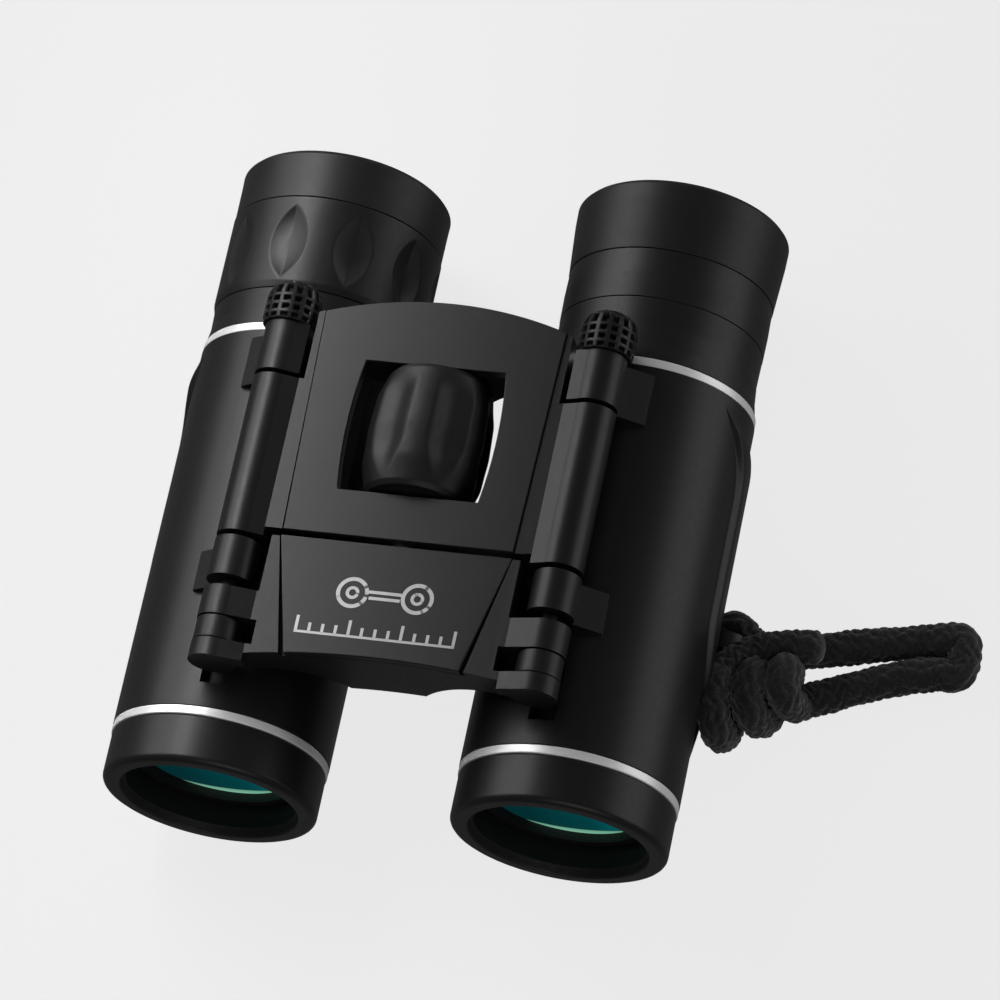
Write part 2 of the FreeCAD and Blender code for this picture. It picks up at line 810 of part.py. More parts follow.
def bridge_cover():
    """The flat plate on top, with the bowed window over the focus wheel."""
    seat = s.bridge_top - s.cover_depth + s.seat_gap
    top = s.bridge_top
    plate = shared(slab(cover_outline(0), "Z", seat, top), rear_arc((seat - 1, top + 1)))
    half_length = (s.window_rear - s.window_front) / 2
    middle = (s.window_rear + s.window_front) / 2
    bow = s.window_half - s.window_end_half
    radius = (half_length * half_length + bow * bow) / (2 * bow)
    window = shared(
        block((-s.window_half, s.window_half), (s.window_front, s.window_rear), (seat - 1, top + 1)),
        post(radius, s.window_half - radius, middle, seat - 1, top + 1),
        post(radius, radius - s.window_half, middle, seat - 1, top + 1),
    )
    node(cut(plate, window), "bridge_cover")
    screws = []
    for x, y in COVER_SCREWS:
        shank = post(size(0.9), x, y, seat - 3.2, seat - 0.05)
        screws.append(joined(shank, post(size(1.8), x, y, seat - 4.4, seat - 3.1)))
    node(joined(*screws), "cover_screws")


def hinge_parts(name, side):
    """The steel pin and the knurled knob on its rear end."""
    node(hinge_rod(side, s.pin_radius, PIN_FRONT, PIN_REAR), f"{name}_hinge_pin")
    end = KNOB_FRONT + s.knob_length
    corners = [
        (s.pin_radius + s.seat_gap, KNOB_FRONT),
        (s.knob_radius, KNOB_FRONT),
        (s.knob_radius, end - 2.4),
        (s.knob_radius - 0.35, end - 1.2),
        (s.knob_radius - 1.2, end - 0.35),
        (s.knob_radius - 2.4, end),
        (size(0), end),
        (size(0), PIN_REAR + 0.1),
        (s.pin_radius + s.seat_gap, PIN_REAR + 0.1),
    ]
    knob = turned(corners, 0, s.hinge_height)
    put(knob, side * s.hinge_offset, 0, s.hinge_height)
    node(knob, f"{name}_hinge_knob")


def focus_wheel():
    """The wheel in the window, its core, and the screw that it turns."""
    middle = (s.window_front + s.window_rear) / 2
    start = middle - s.wheel_length / 2
    end = middle + s.wheel_length / 2
    height = s.wheel_height
    core = s.wheel_core_radius
    crown = [
        (core + s.seat_gap, start),
        (s.wheel_end_radius - 0.5, start),
        (s.wheel_end_radius, start + 0.6),
        (s.wheel_radius - 0.35, start + s.wheel_length * 0.22),
        (s.wheel_radius, middle - 1.5),
        (s.wheel_radius, middle + 1.5),
        (s.wheel_radius - 0.35, end - s.wheel_length * 0.22),
        (s.wheel_end_radius, end - 0.6),
        (s.wheel_end_radius - 0.5, end),
        (core + s.seat_gap, end),
    ]
    node(turned(crown, 0, height), "focus_wheel_grip")
    node(ring(s.screw_radius + s.seat_gap, core, start, end, 0, height), "focus_wheel_core")
    node(rod(s.screw_radius, s.screw_front, s.screw_rear, 0, height), "focus_screw")
    bore = s.screw_radius + s.running_gap
    outer = s.bush_radius - s.seat_gap
    front_bush = ring(bore, outer, s.bridge_front + 0.3, s.window_front - 0.5, 0, height)
    rear_bush = ring(bore, outer, s.window_rear + 0.5, size(18.8), 0, height)
    node(joined(front_bush, rear_bush), "screw_bushes")


# ---- the focusing carriage ----


def plate_outline(grow):
    """The name plate's outline, narrower towards the objectives."""
    return [
        (-16.5 - grow, s.carriage_rear + 0.2),
        (16.5 + grow, s.carriage_rear + 0.2),
        (12.4 + grow, s.carriage_front - 1),
        (-12.4 - grow, s.carriage_front - 1),
    ]


def front_arc(height):
    """The big upright cylinder that hollows the carriage's front edge."""
    half_chord = 24.0
    rise = 2.3
    radius = size((half_chord**2 + rise**2) / (2 * rise))
    return post(radius, 0, s.carriage_front + 2.5 - radius, *height)


def focus_carriage():
    """The block in front of the bridge, with two knuckles on each hinge pin."""
    floor = s.bridge_belly
    top = s.bridge_top
    wide = s.bridge_half_width
    seat = top - 1.2
    tools = [front_arc((floor - 1, top + 2))]
    notch = (REAR_KNUCKLE[1] + 0.7, s.carriage_rear + 1)
    pocket = (FRONT_KNUCKLE[1], REAR_KNUCKLE[0])
    for side in SIDES.values():
        tools.append(fold_clearance(side, s.carriage_front - 1, s.carriage_rear + 1))
        for inner, span in ((s.carriage_notch_half, notch), (s.carriage_pocket_half, pocket)):
            across = (inner, wide + 1) if side > 0 else (-wide - 1, -inner)
            tools.append(block(across, span, (floor, top + 1)))
    plate = block((-wide, wide), (s.carriage_front, s.carriage_rear), (floor, top))
    body = [cut(plate, *tools)]
    bores = []
    for side in SIDES.values():
        for span in (FRONT_KNUCKLE, (REAR_KNUCKLE[0], notch[0])):
            body.append(hinge_rod(side, s.hinge_radius, *span))
            body.append(cheek(side, s.knuckle_inner, span))
        bore_front = s.carriage_front + 0.5
        bores.append(hinge_rod(side, s.pin_radius + s.running_gap, bore_front, REAR_KNUCKLE[1] + 1))
    recess = slab(plate_outline(s.seam_gap), "Z", seat, top + 1)
    nut_front = s.carriage_rear - 5.4 - s.nut_length
    nut_bore = rod(s.nut_radius, nut_front - 0.1, s.carriage_rear + 1, 0, s.wheel_height)
    tip_front = s.screw_front - s.focus_back - 0.4
    tip_bore = rod(s.screw_radius + 0.3, tip_front, s.carriage_rear, 0, s.wheel_height)
    node(cut(joined(*body), *bores, recess, nut_bore, tip_bore), "focus_carriage")
    plain = slab(plate_outline(0), "Z", seat + s.seat_gap, top)
    node(cut(plain, front_arc((seat - 1, top + 2))), "nameplate")
    bore = s.screw_radius + s.running_gap
    nut = ring(bore, s.nut_radius - s.seat_gap, nut_front, nut_front + s.nut_length, 0, s.wheel_height)
    node(nut, "carriage_nut")


# ---- the strap ----

# The loop of cord that lies past the wraps, out along one strand and back along the other.
LOOP_ROUTE = [
    (54.5, -17.2, 4.6),
    (60.4, -16.3, 2.9),
    (67.0, -15.6, 2.1),
    (73.8, -15.4, 2.1),
    (73.9, -8.0, 2.1),
    (67.2, -7.9, 2.1),
    (60.6, -8.4, 2.9),
    (54.5, -9.7, 4.6),
]
ARC_SHARE = 0.45


def cord_tube(route, radius):
    """A tube along straight runs joined by the largest tangent arcs that they leave room for."""
    points = [Vector(*point) for point in route]
    edges = []
    bends = []
    start = points[0]
    for before, corner, after in zip(points, points[1:], points[2:]):
        back = before - corner
        ahead = after - corner
        turn = math.pi - back.getAngle(ahead)
        reach = ARC_SHARE * min(back.Length, ahead.Length)
        bends.append(reach / math.tan(turn / 2))
        enter = corner + back.normalize() * reach
        leave = corner + ahead.normalize() * reach
        toward = (back + ahead).normalize()
        gap = bends[-1] / math.cos(turn / 2) - bends[-1]
        edges.append(Part.LineSegment(start, enter).toShape())
        edges.append(Part.Arc(enter, corner + toward * gap, leave).toShape())
        start = leave
    edges.append(Part.LineSegment(start, points[-1]).toShape())
    path = Part.Wire(edges)
    first = points[1] - points[0]
    section = Part.Wire(Part.makeCircle(radius, points[0], first))
    tube = path.makePipeShell([section], True, False)
    print("cord bend radii", [round(bend, 2) for bend in bends])
    print("cord length", round(path.Length, 2))
    print("cord volume share", round(tube.Volume / (path.Length * math.pi * radius**2), 4))
    return tube


def strap():
    """The knot behind the strap tab, the wrapped hank beside the barrel and the loop past it."""
    loop = doc.addObject("Part::Feature", "Loop")
    loop.Shape = cord_tube(LOOP_ROUTE, s.cord_radius.value)
    loop.Placement = Placement()
    node(loop, "strap_loop")
    tab_end = s.tab_front + s.tab_length
    low = size(0.2)
    high = low + s.hank_height
    plan = [
        (s.hank_start, s.hank_front),
        (s.hank_start + 7.0, s.hank_front + 1.0),
        (s.hank_end, s.hank_front + 8.4),
        (s.hank_end, s.hank_rear),
        (s.hank_start, s.hank_rear),
    ]
    wraps = rounded(slab(plan, "Z", low, high), s.hank_round, runs_level)
    barrel = (s.barrel_offset, s.axis_height)
    clear_barrel = rod(s.barrel_radius + s.pad_height + 0.5, FRONT, REAR, *barrel)
    tab_front = s.tab_front - 0.4
    tab_side = s.barrel_offset + s.tab_centre + 0.3
    clear_tab = block((s.hank_start - 1, tab_side), (tab_front, size(0)), (size(-1), high + 1))
    node(cut(wraps, clear_barrel, clear_tab), "strap_hank")
    node(tab_rod(1, s.cord_radius, tab_front - 0.5, tab_end + 0.4), "strap_lead")
    # The knot lies against the tab's rear face, a little outside the hole to clear the grip pad.
    knot_centre = s.barrel_radius + s.pad_height + s.knot_radius + 0.2
    x = s.barrel_offset + knot_centre * cosine(s.tab_angle)
    z = s.axis_height - knot_centre * sine(s.tab_angle)
    node(ball(s.knot_radius, x, tab_end + 0.1 + s.knot_radius, z), "strap_knot")


# ---- the assembly ----

for name, side in SIDES.items():
    barrel_shell(name, side)
    front_bezel(name, side)
    trim_rings(name, side)
    grip_pad(name, side)
    prisms(name, side)
    objective(name, side)
    ocular(name, side)
    hinge_parts(name, side)
left_eyepiece()
right_eyepiece()
bridge_frame()
bridge_cover()
focus_wheel()
focus_carriage()
strap()

doc.recompute()
for item in doc.Objects:
    if "Invalid" in item.State or "Error" in item.State:
        raise RuntimeError(f"{item.Name} ({item.Label}) failed: {item.State}")

os.makedirs("parts", exist_ok=True)
for item in nodes:
    shape = item.Shape
    if shape.isNull() or not shape.isValid() or shape.Volume < 0.1:
        raise RuntimeError(f"{item.Label} has no valid shape")
    shape.exportStep(os.path.join("parts", f"{item.Label}.step"))
print(len(nodes), "sub-parts")
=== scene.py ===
"""The looks of compact folding binoculars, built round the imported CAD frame, in metres.

The shapes below are worked out in millimetres, in the frame's own axes: +Y runs from the objectives to
the eyepieces, +X is the user's left and +Z is up. Every piece is then scaled to metres.
"""

import json
import math

import bmesh
import bpy
import numpy as np
from mathutils import Matrix, Vector


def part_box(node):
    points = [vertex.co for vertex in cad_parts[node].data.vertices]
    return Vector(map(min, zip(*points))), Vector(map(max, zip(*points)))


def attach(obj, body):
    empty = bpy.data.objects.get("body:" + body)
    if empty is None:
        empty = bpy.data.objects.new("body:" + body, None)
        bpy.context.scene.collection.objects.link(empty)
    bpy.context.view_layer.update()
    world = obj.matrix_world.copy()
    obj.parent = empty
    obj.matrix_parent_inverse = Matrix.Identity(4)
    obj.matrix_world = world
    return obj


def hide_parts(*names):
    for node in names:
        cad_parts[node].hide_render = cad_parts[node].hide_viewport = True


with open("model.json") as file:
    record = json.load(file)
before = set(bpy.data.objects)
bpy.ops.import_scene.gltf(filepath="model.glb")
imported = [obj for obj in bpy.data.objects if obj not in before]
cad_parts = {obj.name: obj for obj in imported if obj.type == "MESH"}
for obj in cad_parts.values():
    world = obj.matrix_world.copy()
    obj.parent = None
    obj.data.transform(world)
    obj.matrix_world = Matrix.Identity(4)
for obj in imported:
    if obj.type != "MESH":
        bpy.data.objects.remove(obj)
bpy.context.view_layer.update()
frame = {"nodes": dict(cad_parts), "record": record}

MM = 0.001
SIDES = {"left": 1, "right": -1}


# ---- places, read from the frame ----


class Span:
    """A CAD node's box in millimetres."""

    def __init__(self, node):
        low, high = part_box(node)
        self.low = low / MM
        self.high = high / MM
        self.middle = (self.low + self.high) / 2
        self.size = self.high - self.low


BEZEL = Span("left_front_bezel")
BARREL_X = BEZEL.middle.x
BARREL_Z = BEZEL.middle.z
BEZEL_RADIUS = BEZEL.size.x / 2
BARREL_RADIUS = BARREL_Z
HINGE = Span("left_hinge_knob").middle
WHEEL = Span("focus_wheel_grip")
COVER = Span("bridge_cover")
PLATE = Span("nameplate")
HINGE_X = HINGE.x
HINGE_Z = HINGE.z
WHEEL_Z = WHEEL.middle.z
BODIES = frame["record"]["behaviour"]["bodies"]
NODE_BODY = {node: body for body, group in BODIES.items() for node in group}


# ---- the camera ----

AZIMUTH = 33.371
ELEVATION = 62.341
ROLL = -24.463
DISTANCE = 0.8123
LENS_MM = 208.1
LOOK_AT = Vector((0.0, -0.0025, 0.0154))
SLIDE_RIGHT = 0.00751
SLIDE_UP = 0.00381


def add_camera():
    """A long lens that looks down from the objectives' side, rolled about its own line of sight."""
    azimuth, elevation, roll = (math.radians(angle) for angle in (AZIMUTH, ELEVATION, ROLL))
    toward = Vector(
        (
            math.sin(azimuth) * math.cos(elevation),
            -math.cos(azimuth) * math.cos(elevation),
            math.sin(elevation),
        )
    )
    level = Vector((math.cos(azimuth), math.sin(azimuth), 0))
    upright = toward.cross(level)
    right = level * math.cos(roll) + upright * math.sin(roll)
    up = upright * math.cos(roll) - level * math.sin(roll)
    place = LOOK_AT + right * SLIDE_RIGHT + up * SLIDE_UP + toward * DISTANCE
    camera = bpy.data.objects.new("Camera", bpy.data.cameras.new("Camera"))
    camera.matrix_world = Matrix.Translation(place) @ Matrix((right, up, toward)).transposed().to_4x4()
    camera.data.lens = LENS_MM
    bpy.context.scene.collection.objects.link(camera)
    bpy.context.scene.camera = camera


add_camera()


# ---- materials ----


class Finish:
    """A procedural material, with short ways to add its nodes."""

    def __init__(self, name, **sockets):
        self.material = bpy.data.materials.new(name)
        self.material.use_nodes = True
        self.tree = self.material.node_tree
        self.shader = self.tree.nodes["Principled BSDF"]
        for socket, value in sockets.items():
            self.shader.inputs[socket.replace("_", " ")].default_value = value
        self.place = self.add("TexCoord").outputs["Object"]

    def add(self, kind, inputs=None, **settings):
        node = self.tree.nodes.new("ShaderNode" + kind)
        for name, value in settings.items():
            setattr(node, name, value)
        for socket, value in (inputs or {}).items():
            self.feed(node.inputs[socket], value)
        return node

    def feed(self, socket, value):
        if isinstance(value, bpy.types.NodeSocket):
            self.tree.links.new(value, socket)
        else:
            socket.default_value = value

    def stretched(self, x, y, z):
        """Object coordinates scaled along each axis."""
        return self.add("Mapping", {"Vector": self.place, "Scale": (x, y, z)}).outputs["Vector"]

    def noise(self, scale, detail=3.0, where=None, roughness=0.55):
        inputs = {
            "Vector": where or self.place,
            "Scale": scale,
            "Detail": detail,
            "Roughness": roughness,
        }
        return self.add("TexNoise", inputs).outputs["Fac"]

    def ramp(self, factor, *stops):
        """Stops are (position, value or colour)."""
        node = self.add("ValToRGB", {"Fac": factor})
        ramp = node.color_ramp
        while len(ramp.elements) < len(stops):
            ramp.elements.new(0.5)
        for element, (position, value) in zip(ramp.elements, stops):
            element.position = position
            colour = value if isinstance(value, tuple) else (value, value, value)
            element.color = (*colour, 1)
        return node.outputs["Color"]

    def maths(self, operation, first, second):
        node = self.add("Math", operation=operation)
        self.feed(node.inputs[0], first)
        self.feed(node.inputs[1], second)
        return node.outputs["Value"]

    def blended(self, factor, first, second):
        """Two colours mixed by a factor."""
        node = self.add("Mix", data_type="RGBA")
        self.feed(node.inputs["Factor"], factor)
        self.feed(node.inputs[6], first)
        self.feed(node.inputs[7], second)
        return node.outputs[2]

    def bump(self, height, depth_mm, strength=1.0):
        inputs = {"Height": height, "Distance": depth_mm * MM, "Strength": strength}
        return self.add("Bump", inputs).outputs["Normal"]

    def use(self, **sockets):
        for socket, value in sockets.items():
            self.feed(self.shader.inputs[socket.replace("_", " ")], value)
        return self


MOTTLE_SCALE = 220.0
SPECK_SCALE = 1400.0
BLACK = (0.006, 0.006, 0.0063)
PALER_BLACK = (0.008, 0.008, 0.0085)
WORN_GREY = (0.03, 0.03, 0.031)


def moulded(name, dark, pale, rough, grain_mm, grain_depth, specular):
    """Moulded plastic or rubber: a fine grain, handling marks and edges paled by wear."""
    finish = Finish(name, Specular_IOR_Level=specular)
    cloud = finish.noise(MOTTLE_SCALE, 4.0)
    speck = finish.noise(SPECK_SCALE, 2.0)
    tone = finish.blended(finish.ramp(cloud, (0.3, 0.0), (0.7, 1.0)), (*dark, 1), (*pale, 1))
    edge = finish.add("NewGeometry").outputs["Pointiness"]
    wear_and_glint = finish.ramp(edge, (0.52, 0.0), (0.66, 0.25))
    tone = finish.blended(wear_and_glint, tone, (*WORN_GREY, 1))
    low, high = rough
    gloss = finish.ramp(speck, (0.3, low), (0.75, high))
    grain = finish.noise(1000.0 / grain_mm, 2.0)
    normal = finish.bump(grain, grain_depth)
    return finish.use(Base_Color=tone, Roughness=gloss, Normal=normal).material


PLASTIC_SPECULAR = 0.36
SHADED_WINDOW_BOX = (("X", -11.5, 11.5), ("Y", -8.6, 12.9), ("Z", 20.0, 35.6))


def cast_bridge():
    """The bridge's casting: black plastic, duller inside the wheel's window, where a deeper black is
    painted in as shade.
    """
    finish = Finish("bridge_cast", Specular_IOR_Level=PLASTIC_SPECULAR)
    parts = finish.add("SeparateXYZ", {"Vector": finish.place})
    inside = 1.0
    for axis, low, high in SHADED_WINDOW_BOX:
        above = finish.maths("GREATER_THAN", parts.outputs[axis], low * MM)
        below = finish.maths("LESS_THAN", parts.outputs[axis], high * MM)
        inside = finish.maths("MULTIPLY", finish.maths("MULTIPLY", above, below), inside)
    speck = finish.noise(SPECK_SCALE, 2.0)
    cloud = finish.noise(MOTTLE_SCALE, 4.0)
    tone = finish.blended(cloud, (*BLACK, 1), (*PALER_BLACK, 1))
    # Painted shade: a near-black base colour inside the window's box.
    tone = finish.blended(inside, tone, (0.0015, 0.0015, 0.0015, 1))
    outside_gloss = finish.ramp(speck, (0.3, 0.34), (0.75, 0.42))
    gloss = finish.maths("ADD", outside_gloss, finish.maths("MULTIPLY", inside, 0.5))
    normal = finish.bump(finish.noise(7700.0, 2.0), 0.006)
    return finish.use(Base_Color=tone, Roughness=gloss, Normal=normal).material


SHELL = moulded("satin_shell", BLACK, PALER_BLACK, (0.36, 0.43), 0.11, 0.004, PLASTIC_SPECULAR)
MOULDED = moulded("moulded_black", BLACK, PALER_BLACK, (0.37, 0.45), 0.13, 0.006, PLASTIC_SPECULAR)
RUBBER = moulded(
    "rubber_black", (0.007, 0.007, 0.0073), (0.009, 0.009, 0.0095), (0.42, 0.5), 0.16, 0.009,
    PLASTIC_SPECULAR,
)
INNER = moulded("inner_black", (0.004, 0.004, 0.0045), (0.006, 0.006, 0.0065), (0.5, 0.65), 0.1, 0.01, 0.3)


def bright_trim():
    """Turned aluminium: fine lines round the ring."""
    finish = Finish("bright_trim", Metallic=0.35, Anisotropic=0.3)
    lines = finish.noise(1.0, 3.0, finish.stretched(60.0, 16000.0, 60.0))
    cloud = finish.noise(300.0, 3.0)
    tone = finish.blended(cloud, (0.93, 0.93, 0.94, 1), (0.99, 0.99, 0.99, 1))
    gloss = finish.ramp(lines, (0.25, 0.3), (0.75, 0.44))
    normal = finish.bump(lines, 0.004)
    return finish.use(Base_Color=tone, Roughness=gloss, Normal=normal).material


def plain_metal(name, dark, pale, low, high):
    """Drawn or turned metal with lines along Y and a little tarnish."""
    finish = Finish(name, Metallic=1.0)
    lines = finish.noise(1.0, 2.0, finish.stretched(6000.0, 200.0, 6000.0))
    cloud = finish.noise(500.0, 4.0)
    tone = finish.blended(cloud, (*dark, 1), (*pale, 1))
    gloss = finish.ramp(lines, (0.3, low), (0.7, high))
    return finish.use(Base_Color=tone, Roughness=gloss, Normal=finish.bump(lines, 0.003)).material


TRIM = bright_trim()
STEEL = plain_metal("steel", (0.42, 0.42, 0.43), (0.6, 0.6, 0.61), 0.22, 0.36)
BRASS = plain_metal("brass", (0.62, 0.43, 0.16), (0.78, 0.58, 0.25), 0.2, 0.34)


def silver_print():
    """Silver ink, slightly broken up."""
    finish = Finish("silver_print", Metallic=0.6)
    cloud = finish.noise(900.0, 4.0)
    tone = finish.blended(cloud, (0.36, 0.36, 0.36, 1), (0.5, 0.5, 0.51, 1))
    gloss = finish.ramp(cloud, (0.3, 0.4), (0.7, 0.55))
    return finish.use(Base_Color=tone, Roughness=gloss).material


PRINT = silver_print()


def around_axis(finish, side, above):
    """The distance in millimetres from a line that runs above a barrel's axis and along it."""
    shift = finish.add("VectorMath", operation="SUBTRACT")
    finish.feed(shift.inputs[0], finish.place)
    shift.inputs[1].default_value = (side * BARREL_X * MM, 0, (BARREL_Z + above) * MM)
    flat = finish.add("VectorMath", operation="MULTIPLY")
    finish.feed(flat.inputs[0], shift.outputs[0])
    flat.inputs[1].default_value = (1 / MM, 0, 1 / MM)
    size = finish.add("VectorMath", operation="LENGTH")
    finish.feed(size.inputs[0], flat.outputs[0])
    return size.outputs["Value"]


GLASS_RADIUS = 11.1
CRESCENT_EDGE = 0.912
CRESCENT_SOFT = 0.916
CRESCENT_DEEP = 0.95


def coated_glass(name, side):
    """Coated glass whose colour is painted light: an emitted deep teal that brightens towards +X, and a
    painted reflection, a pale green crescent at the bottom, which is cut off by a wide arc about a line
    high above the barrel."""
    finish = Finish(name, Specular_IOR_Level=0.4, Coat_Weight=0.4, Coat_Roughness=0.04, Coat_IOR=1.5)
    above = 3.6 * GLASS_RADIUS
    reach = finish.maths("DIVIDE", around_axis(finish, side, above), above + 1.2 * GLASS_RADIUS)
    haze = finish.noise(160.0, 2.0)
    reach = finish.maths("ADD", reach, finish.maths("MULTIPLY", haze, 0.003))
    parts = finish.add("SeparateXYZ", {"Vector": finish.place})
    # Painted light: the emitted teal brightens towards +X.
    beside = finish.maths("SUBTRACT", parts.outputs["X"], (side * BARREL_X - 6.0) * MM)
    brightening_share = finish.maths("DIVIDE", beside, 15.0 * MM)
    teal = finish.ramp(
        brightening_share,
        (0.0, (0.0, 0.03, 0.034)),
        (0.6, (0.0, 0.06, 0.068)),
        (1.0, (0.0, 0.16, 0.17)),
    )
    # Painted reflection: a pale green crescent along the glass's lower rim.
    green = finish.ramp(
        reach,
        (CRESCENT_EDGE, (0.0, 0.0, 0.0)),
        (CRESCENT_SOFT, (0.16, 0.42, 0.28)),
        (CRESCENT_DEEP, (0.26, 0.58, 0.42)),
    )
    at_rim = finish.ramp(reach, (CRESCENT_EDGE, 0.0), (CRESCENT_SOFT, 1.0))
    painted_light_glow = finish.blended(at_rim, teal, green)
    # The base colour is paler in the crescent as well, part of the same painted reflection.
    tone = finish.blended(at_rim, (0.0, 0.012, 0.014, 1), (0.02, 0.06, 0.05, 1))
    gloss = finish.ramp(haze, (0.3, 0.05), (0.7, 0.1))
    # The glass glows by emission though it is no lamp: painted light.
    finish.use(Base_Color=tone, Emission_Color=painted_light_glow, Emission_Strength=0.85, Roughness=gloss)
    return finish.material


GLASS = {name: coated_glass(f"coated_glass_{name}", side) for name, side in SIDES.items()}


def prism_glass():
    """Clear glass with a faint haze."""
    finish = Finish("prism_glass", Transmission_Weight=1.0, IOR=1.57)
    haze = finish.noise(400.0, 3.0)
    gloss = finish.ramp(haze, (0.3, 0.01), (0.8, 0.05))
    tone = finish.blended(haze, (0.92, 0.97, 0.95, 1), (0.97, 0.99, 0.98, 1))
    return finish.use(Base_Color=tone, Roughness=gloss).material


PRISM = prism_glass()


def knitted_cord():
    """Dull black yarn, with painted highlights: fibres here and there are paler, as if they caught the
    light.
    """
    finish = Finish("strap_cord", Specular_IOR_Level=0.25, Sheen_Weight=0.4, Sheen_Roughness=0.5)
    fibre = finish.noise(2300.0, 4.0, roughness=0.65)
    cloud = finish.noise(380.0, 3.0)
    tone = finish.blended(cloud, (0.005, 0.005, 0.0055, 1), (0.013, 0.013, 0.014, 1))
    # Painted highlight: paler fibres scattered along the yarn.
    wear_and_glint = finish.ramp(fibre, (0.45, 0.0), (0.7, 1.0))
    tone = finish.blended(wear_and_glint, tone, (0.032, 0.032, 0.034, 1))
    gloss = finish.ramp(fibre, (0.3, 0.7), (0.7, 0.9))
    return finish.use(Base_Color=tone, Roughness=gloss, Normal=finish.bump(fibre, 0.16, 0.9)).material


CORD = knitted_cord()
BRIDGE_CAST = cast_bridge()


# ---- mesh work ----


def soften(corners, steps=5):
    """The closed outline of (u, v, radius) corners, each rounded by an arc of its radius."""
    points = []
    count = len(corners)
    for number, (u, v, radius) in enumerate(corners):
        here = Vector((u, v))
        if radius <= 0:
            points.append(here)
            continue
        before = Vector(corners[number - 1][:2]) - here
        after = Vector(corners[(number + 1) % count][:2]) - here
        half = before.angle(after) / 2
        reach = min(radius / math.tan(half), 0.49 * before.length, 0.49 * after.length)
        radius = reach * math.tan(half)
        middle = here + (before.normalized() + after.normalized()).normalized() * (radius / math.sin(half))
        start = here + before.normalized() * reach - middle
        end = here + after.normalized() * reach - middle
        first = math.atan2(start.y, start.x)
        sweep = (math.atan2(end.y, end.x) - first + math.pi) % math.tau - math.pi
        for step in range(steps + 1):
            angle = first + sweep * step / steps
            points.append(middle + Vector((math.cos(angle), math.sin(angle))) * radius)
    return points


def divided(points, longest):
    """The same closed outline with no run longer than a length."""
    made = []
    for start, end in zip(points, points[1:] + points[:1]):
        pieces = max(1, math.ceil((end - start).length / longest))
        made += [start.lerp(end, k / pieces) for k in range(pieces)]
    return made


def finished(name, mesh, body, finish, replaced=(), sharp=40.0, weighted=True):
    """An object of a mesh in metres, riding on its body."""
    builder = bmesh.new()
    builder.from_mesh(mesh)
    bmesh.ops.remove_doubles(builder, verts=builder.verts, dist=1e-6)
    bmesh.ops.recalc_face_normals(builder, faces=builder.faces)
    builder.to_mesh(mesh)
    builder.free()
    mesh.shade_smooth()
    mesh.set_sharp_from_angle(angle=math.radians(sharp))
    mesh.materials.append(finish)
    item = bpy.data.objects.new(name, mesh)
    bpy.context.scene.collection.objects.link(item)
    if weighted:
        flatten = item.modifiers.new("Even shading", "WEIGHTED_NORMAL")
        flatten.keep_sharp = True
    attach(item, body)
    if replaced:
        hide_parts(*replaced)
    return item


def mesh_of(name, points, faces):
    """A mesh from points in millimetres."""
    mesh = bpy.data.meshes.new(name)
    mesh.from_pydata([tuple(value * MM for value in point) for point in points], [], faces)
    return mesh


def turned_mesh(name, outline, axis, sides, relief=None):
    """A closed (radius, station) outline turned about an axis along Y. relief sinks the surface by a
    depth for an angle from +Z towards +X, a station and a radius."""
    count = len(outline)
    points = []
    for side in range(sides):
        angle = math.tau * side / sides
        for number, (radius, station) in enumerate(outline):
            if relief:
                ahead = outline[(number + 1) % count] - outline[number - 1]
                depth = relief(angle, station, radius)
                if depth:
                    outward = Vector((ahead.y, -ahead.x)).normalized()
                    if outward.x < 0:
                        outward = -outward
                    radius -= depth * outward.x
                    station -= depth * outward.y
            points.append(
                (axis[0] + radius * math.sin(angle), station, axis[1] + radius * math.cos(angle))
            )
    faces = []
    for side in range(sides):
        here = side * count
        there = (side + 1) % sides * count
        for number in range(count):
            after = (number + 1) % count
            faces.append((here + number, here + after, there + after, there + number))
    return mesh_of(name, points, faces)


def turned(name, corners, axis, body, finish, slot_name, replaced, sides=192, relief=None, fine=None):
    """A piece turned about an axis from an outline's corners."""
    outline = soften(corners)
    if fine:
        outline = divided(outline, fine)
    mesh = turned_mesh(name, outline, axis, sides, relief)
    return finished(name, mesh, body, finish, replaced)


def barrel_axis(side):
    return (side * BARREL_X, BARREL_Z)


# ---- the barrels ----

OPENING = 12.0
BAFFLES = 4
BAFFLE_PITCH = 0.8
BAFFLE_DEPTH = 0.12
BAFFLE_BACK = 4.9
INNER_REACH = 0.72
INNER_START = 0.25
SEAT_DEPTH = 5.9
SKIRT_INNER = 14.37
SPIGOT_INNER = 13.45
RING_INNER = {"front": 14.5, "rear": 13.5}
RING_GAP = 0.03
RING_EDGE = 0.16


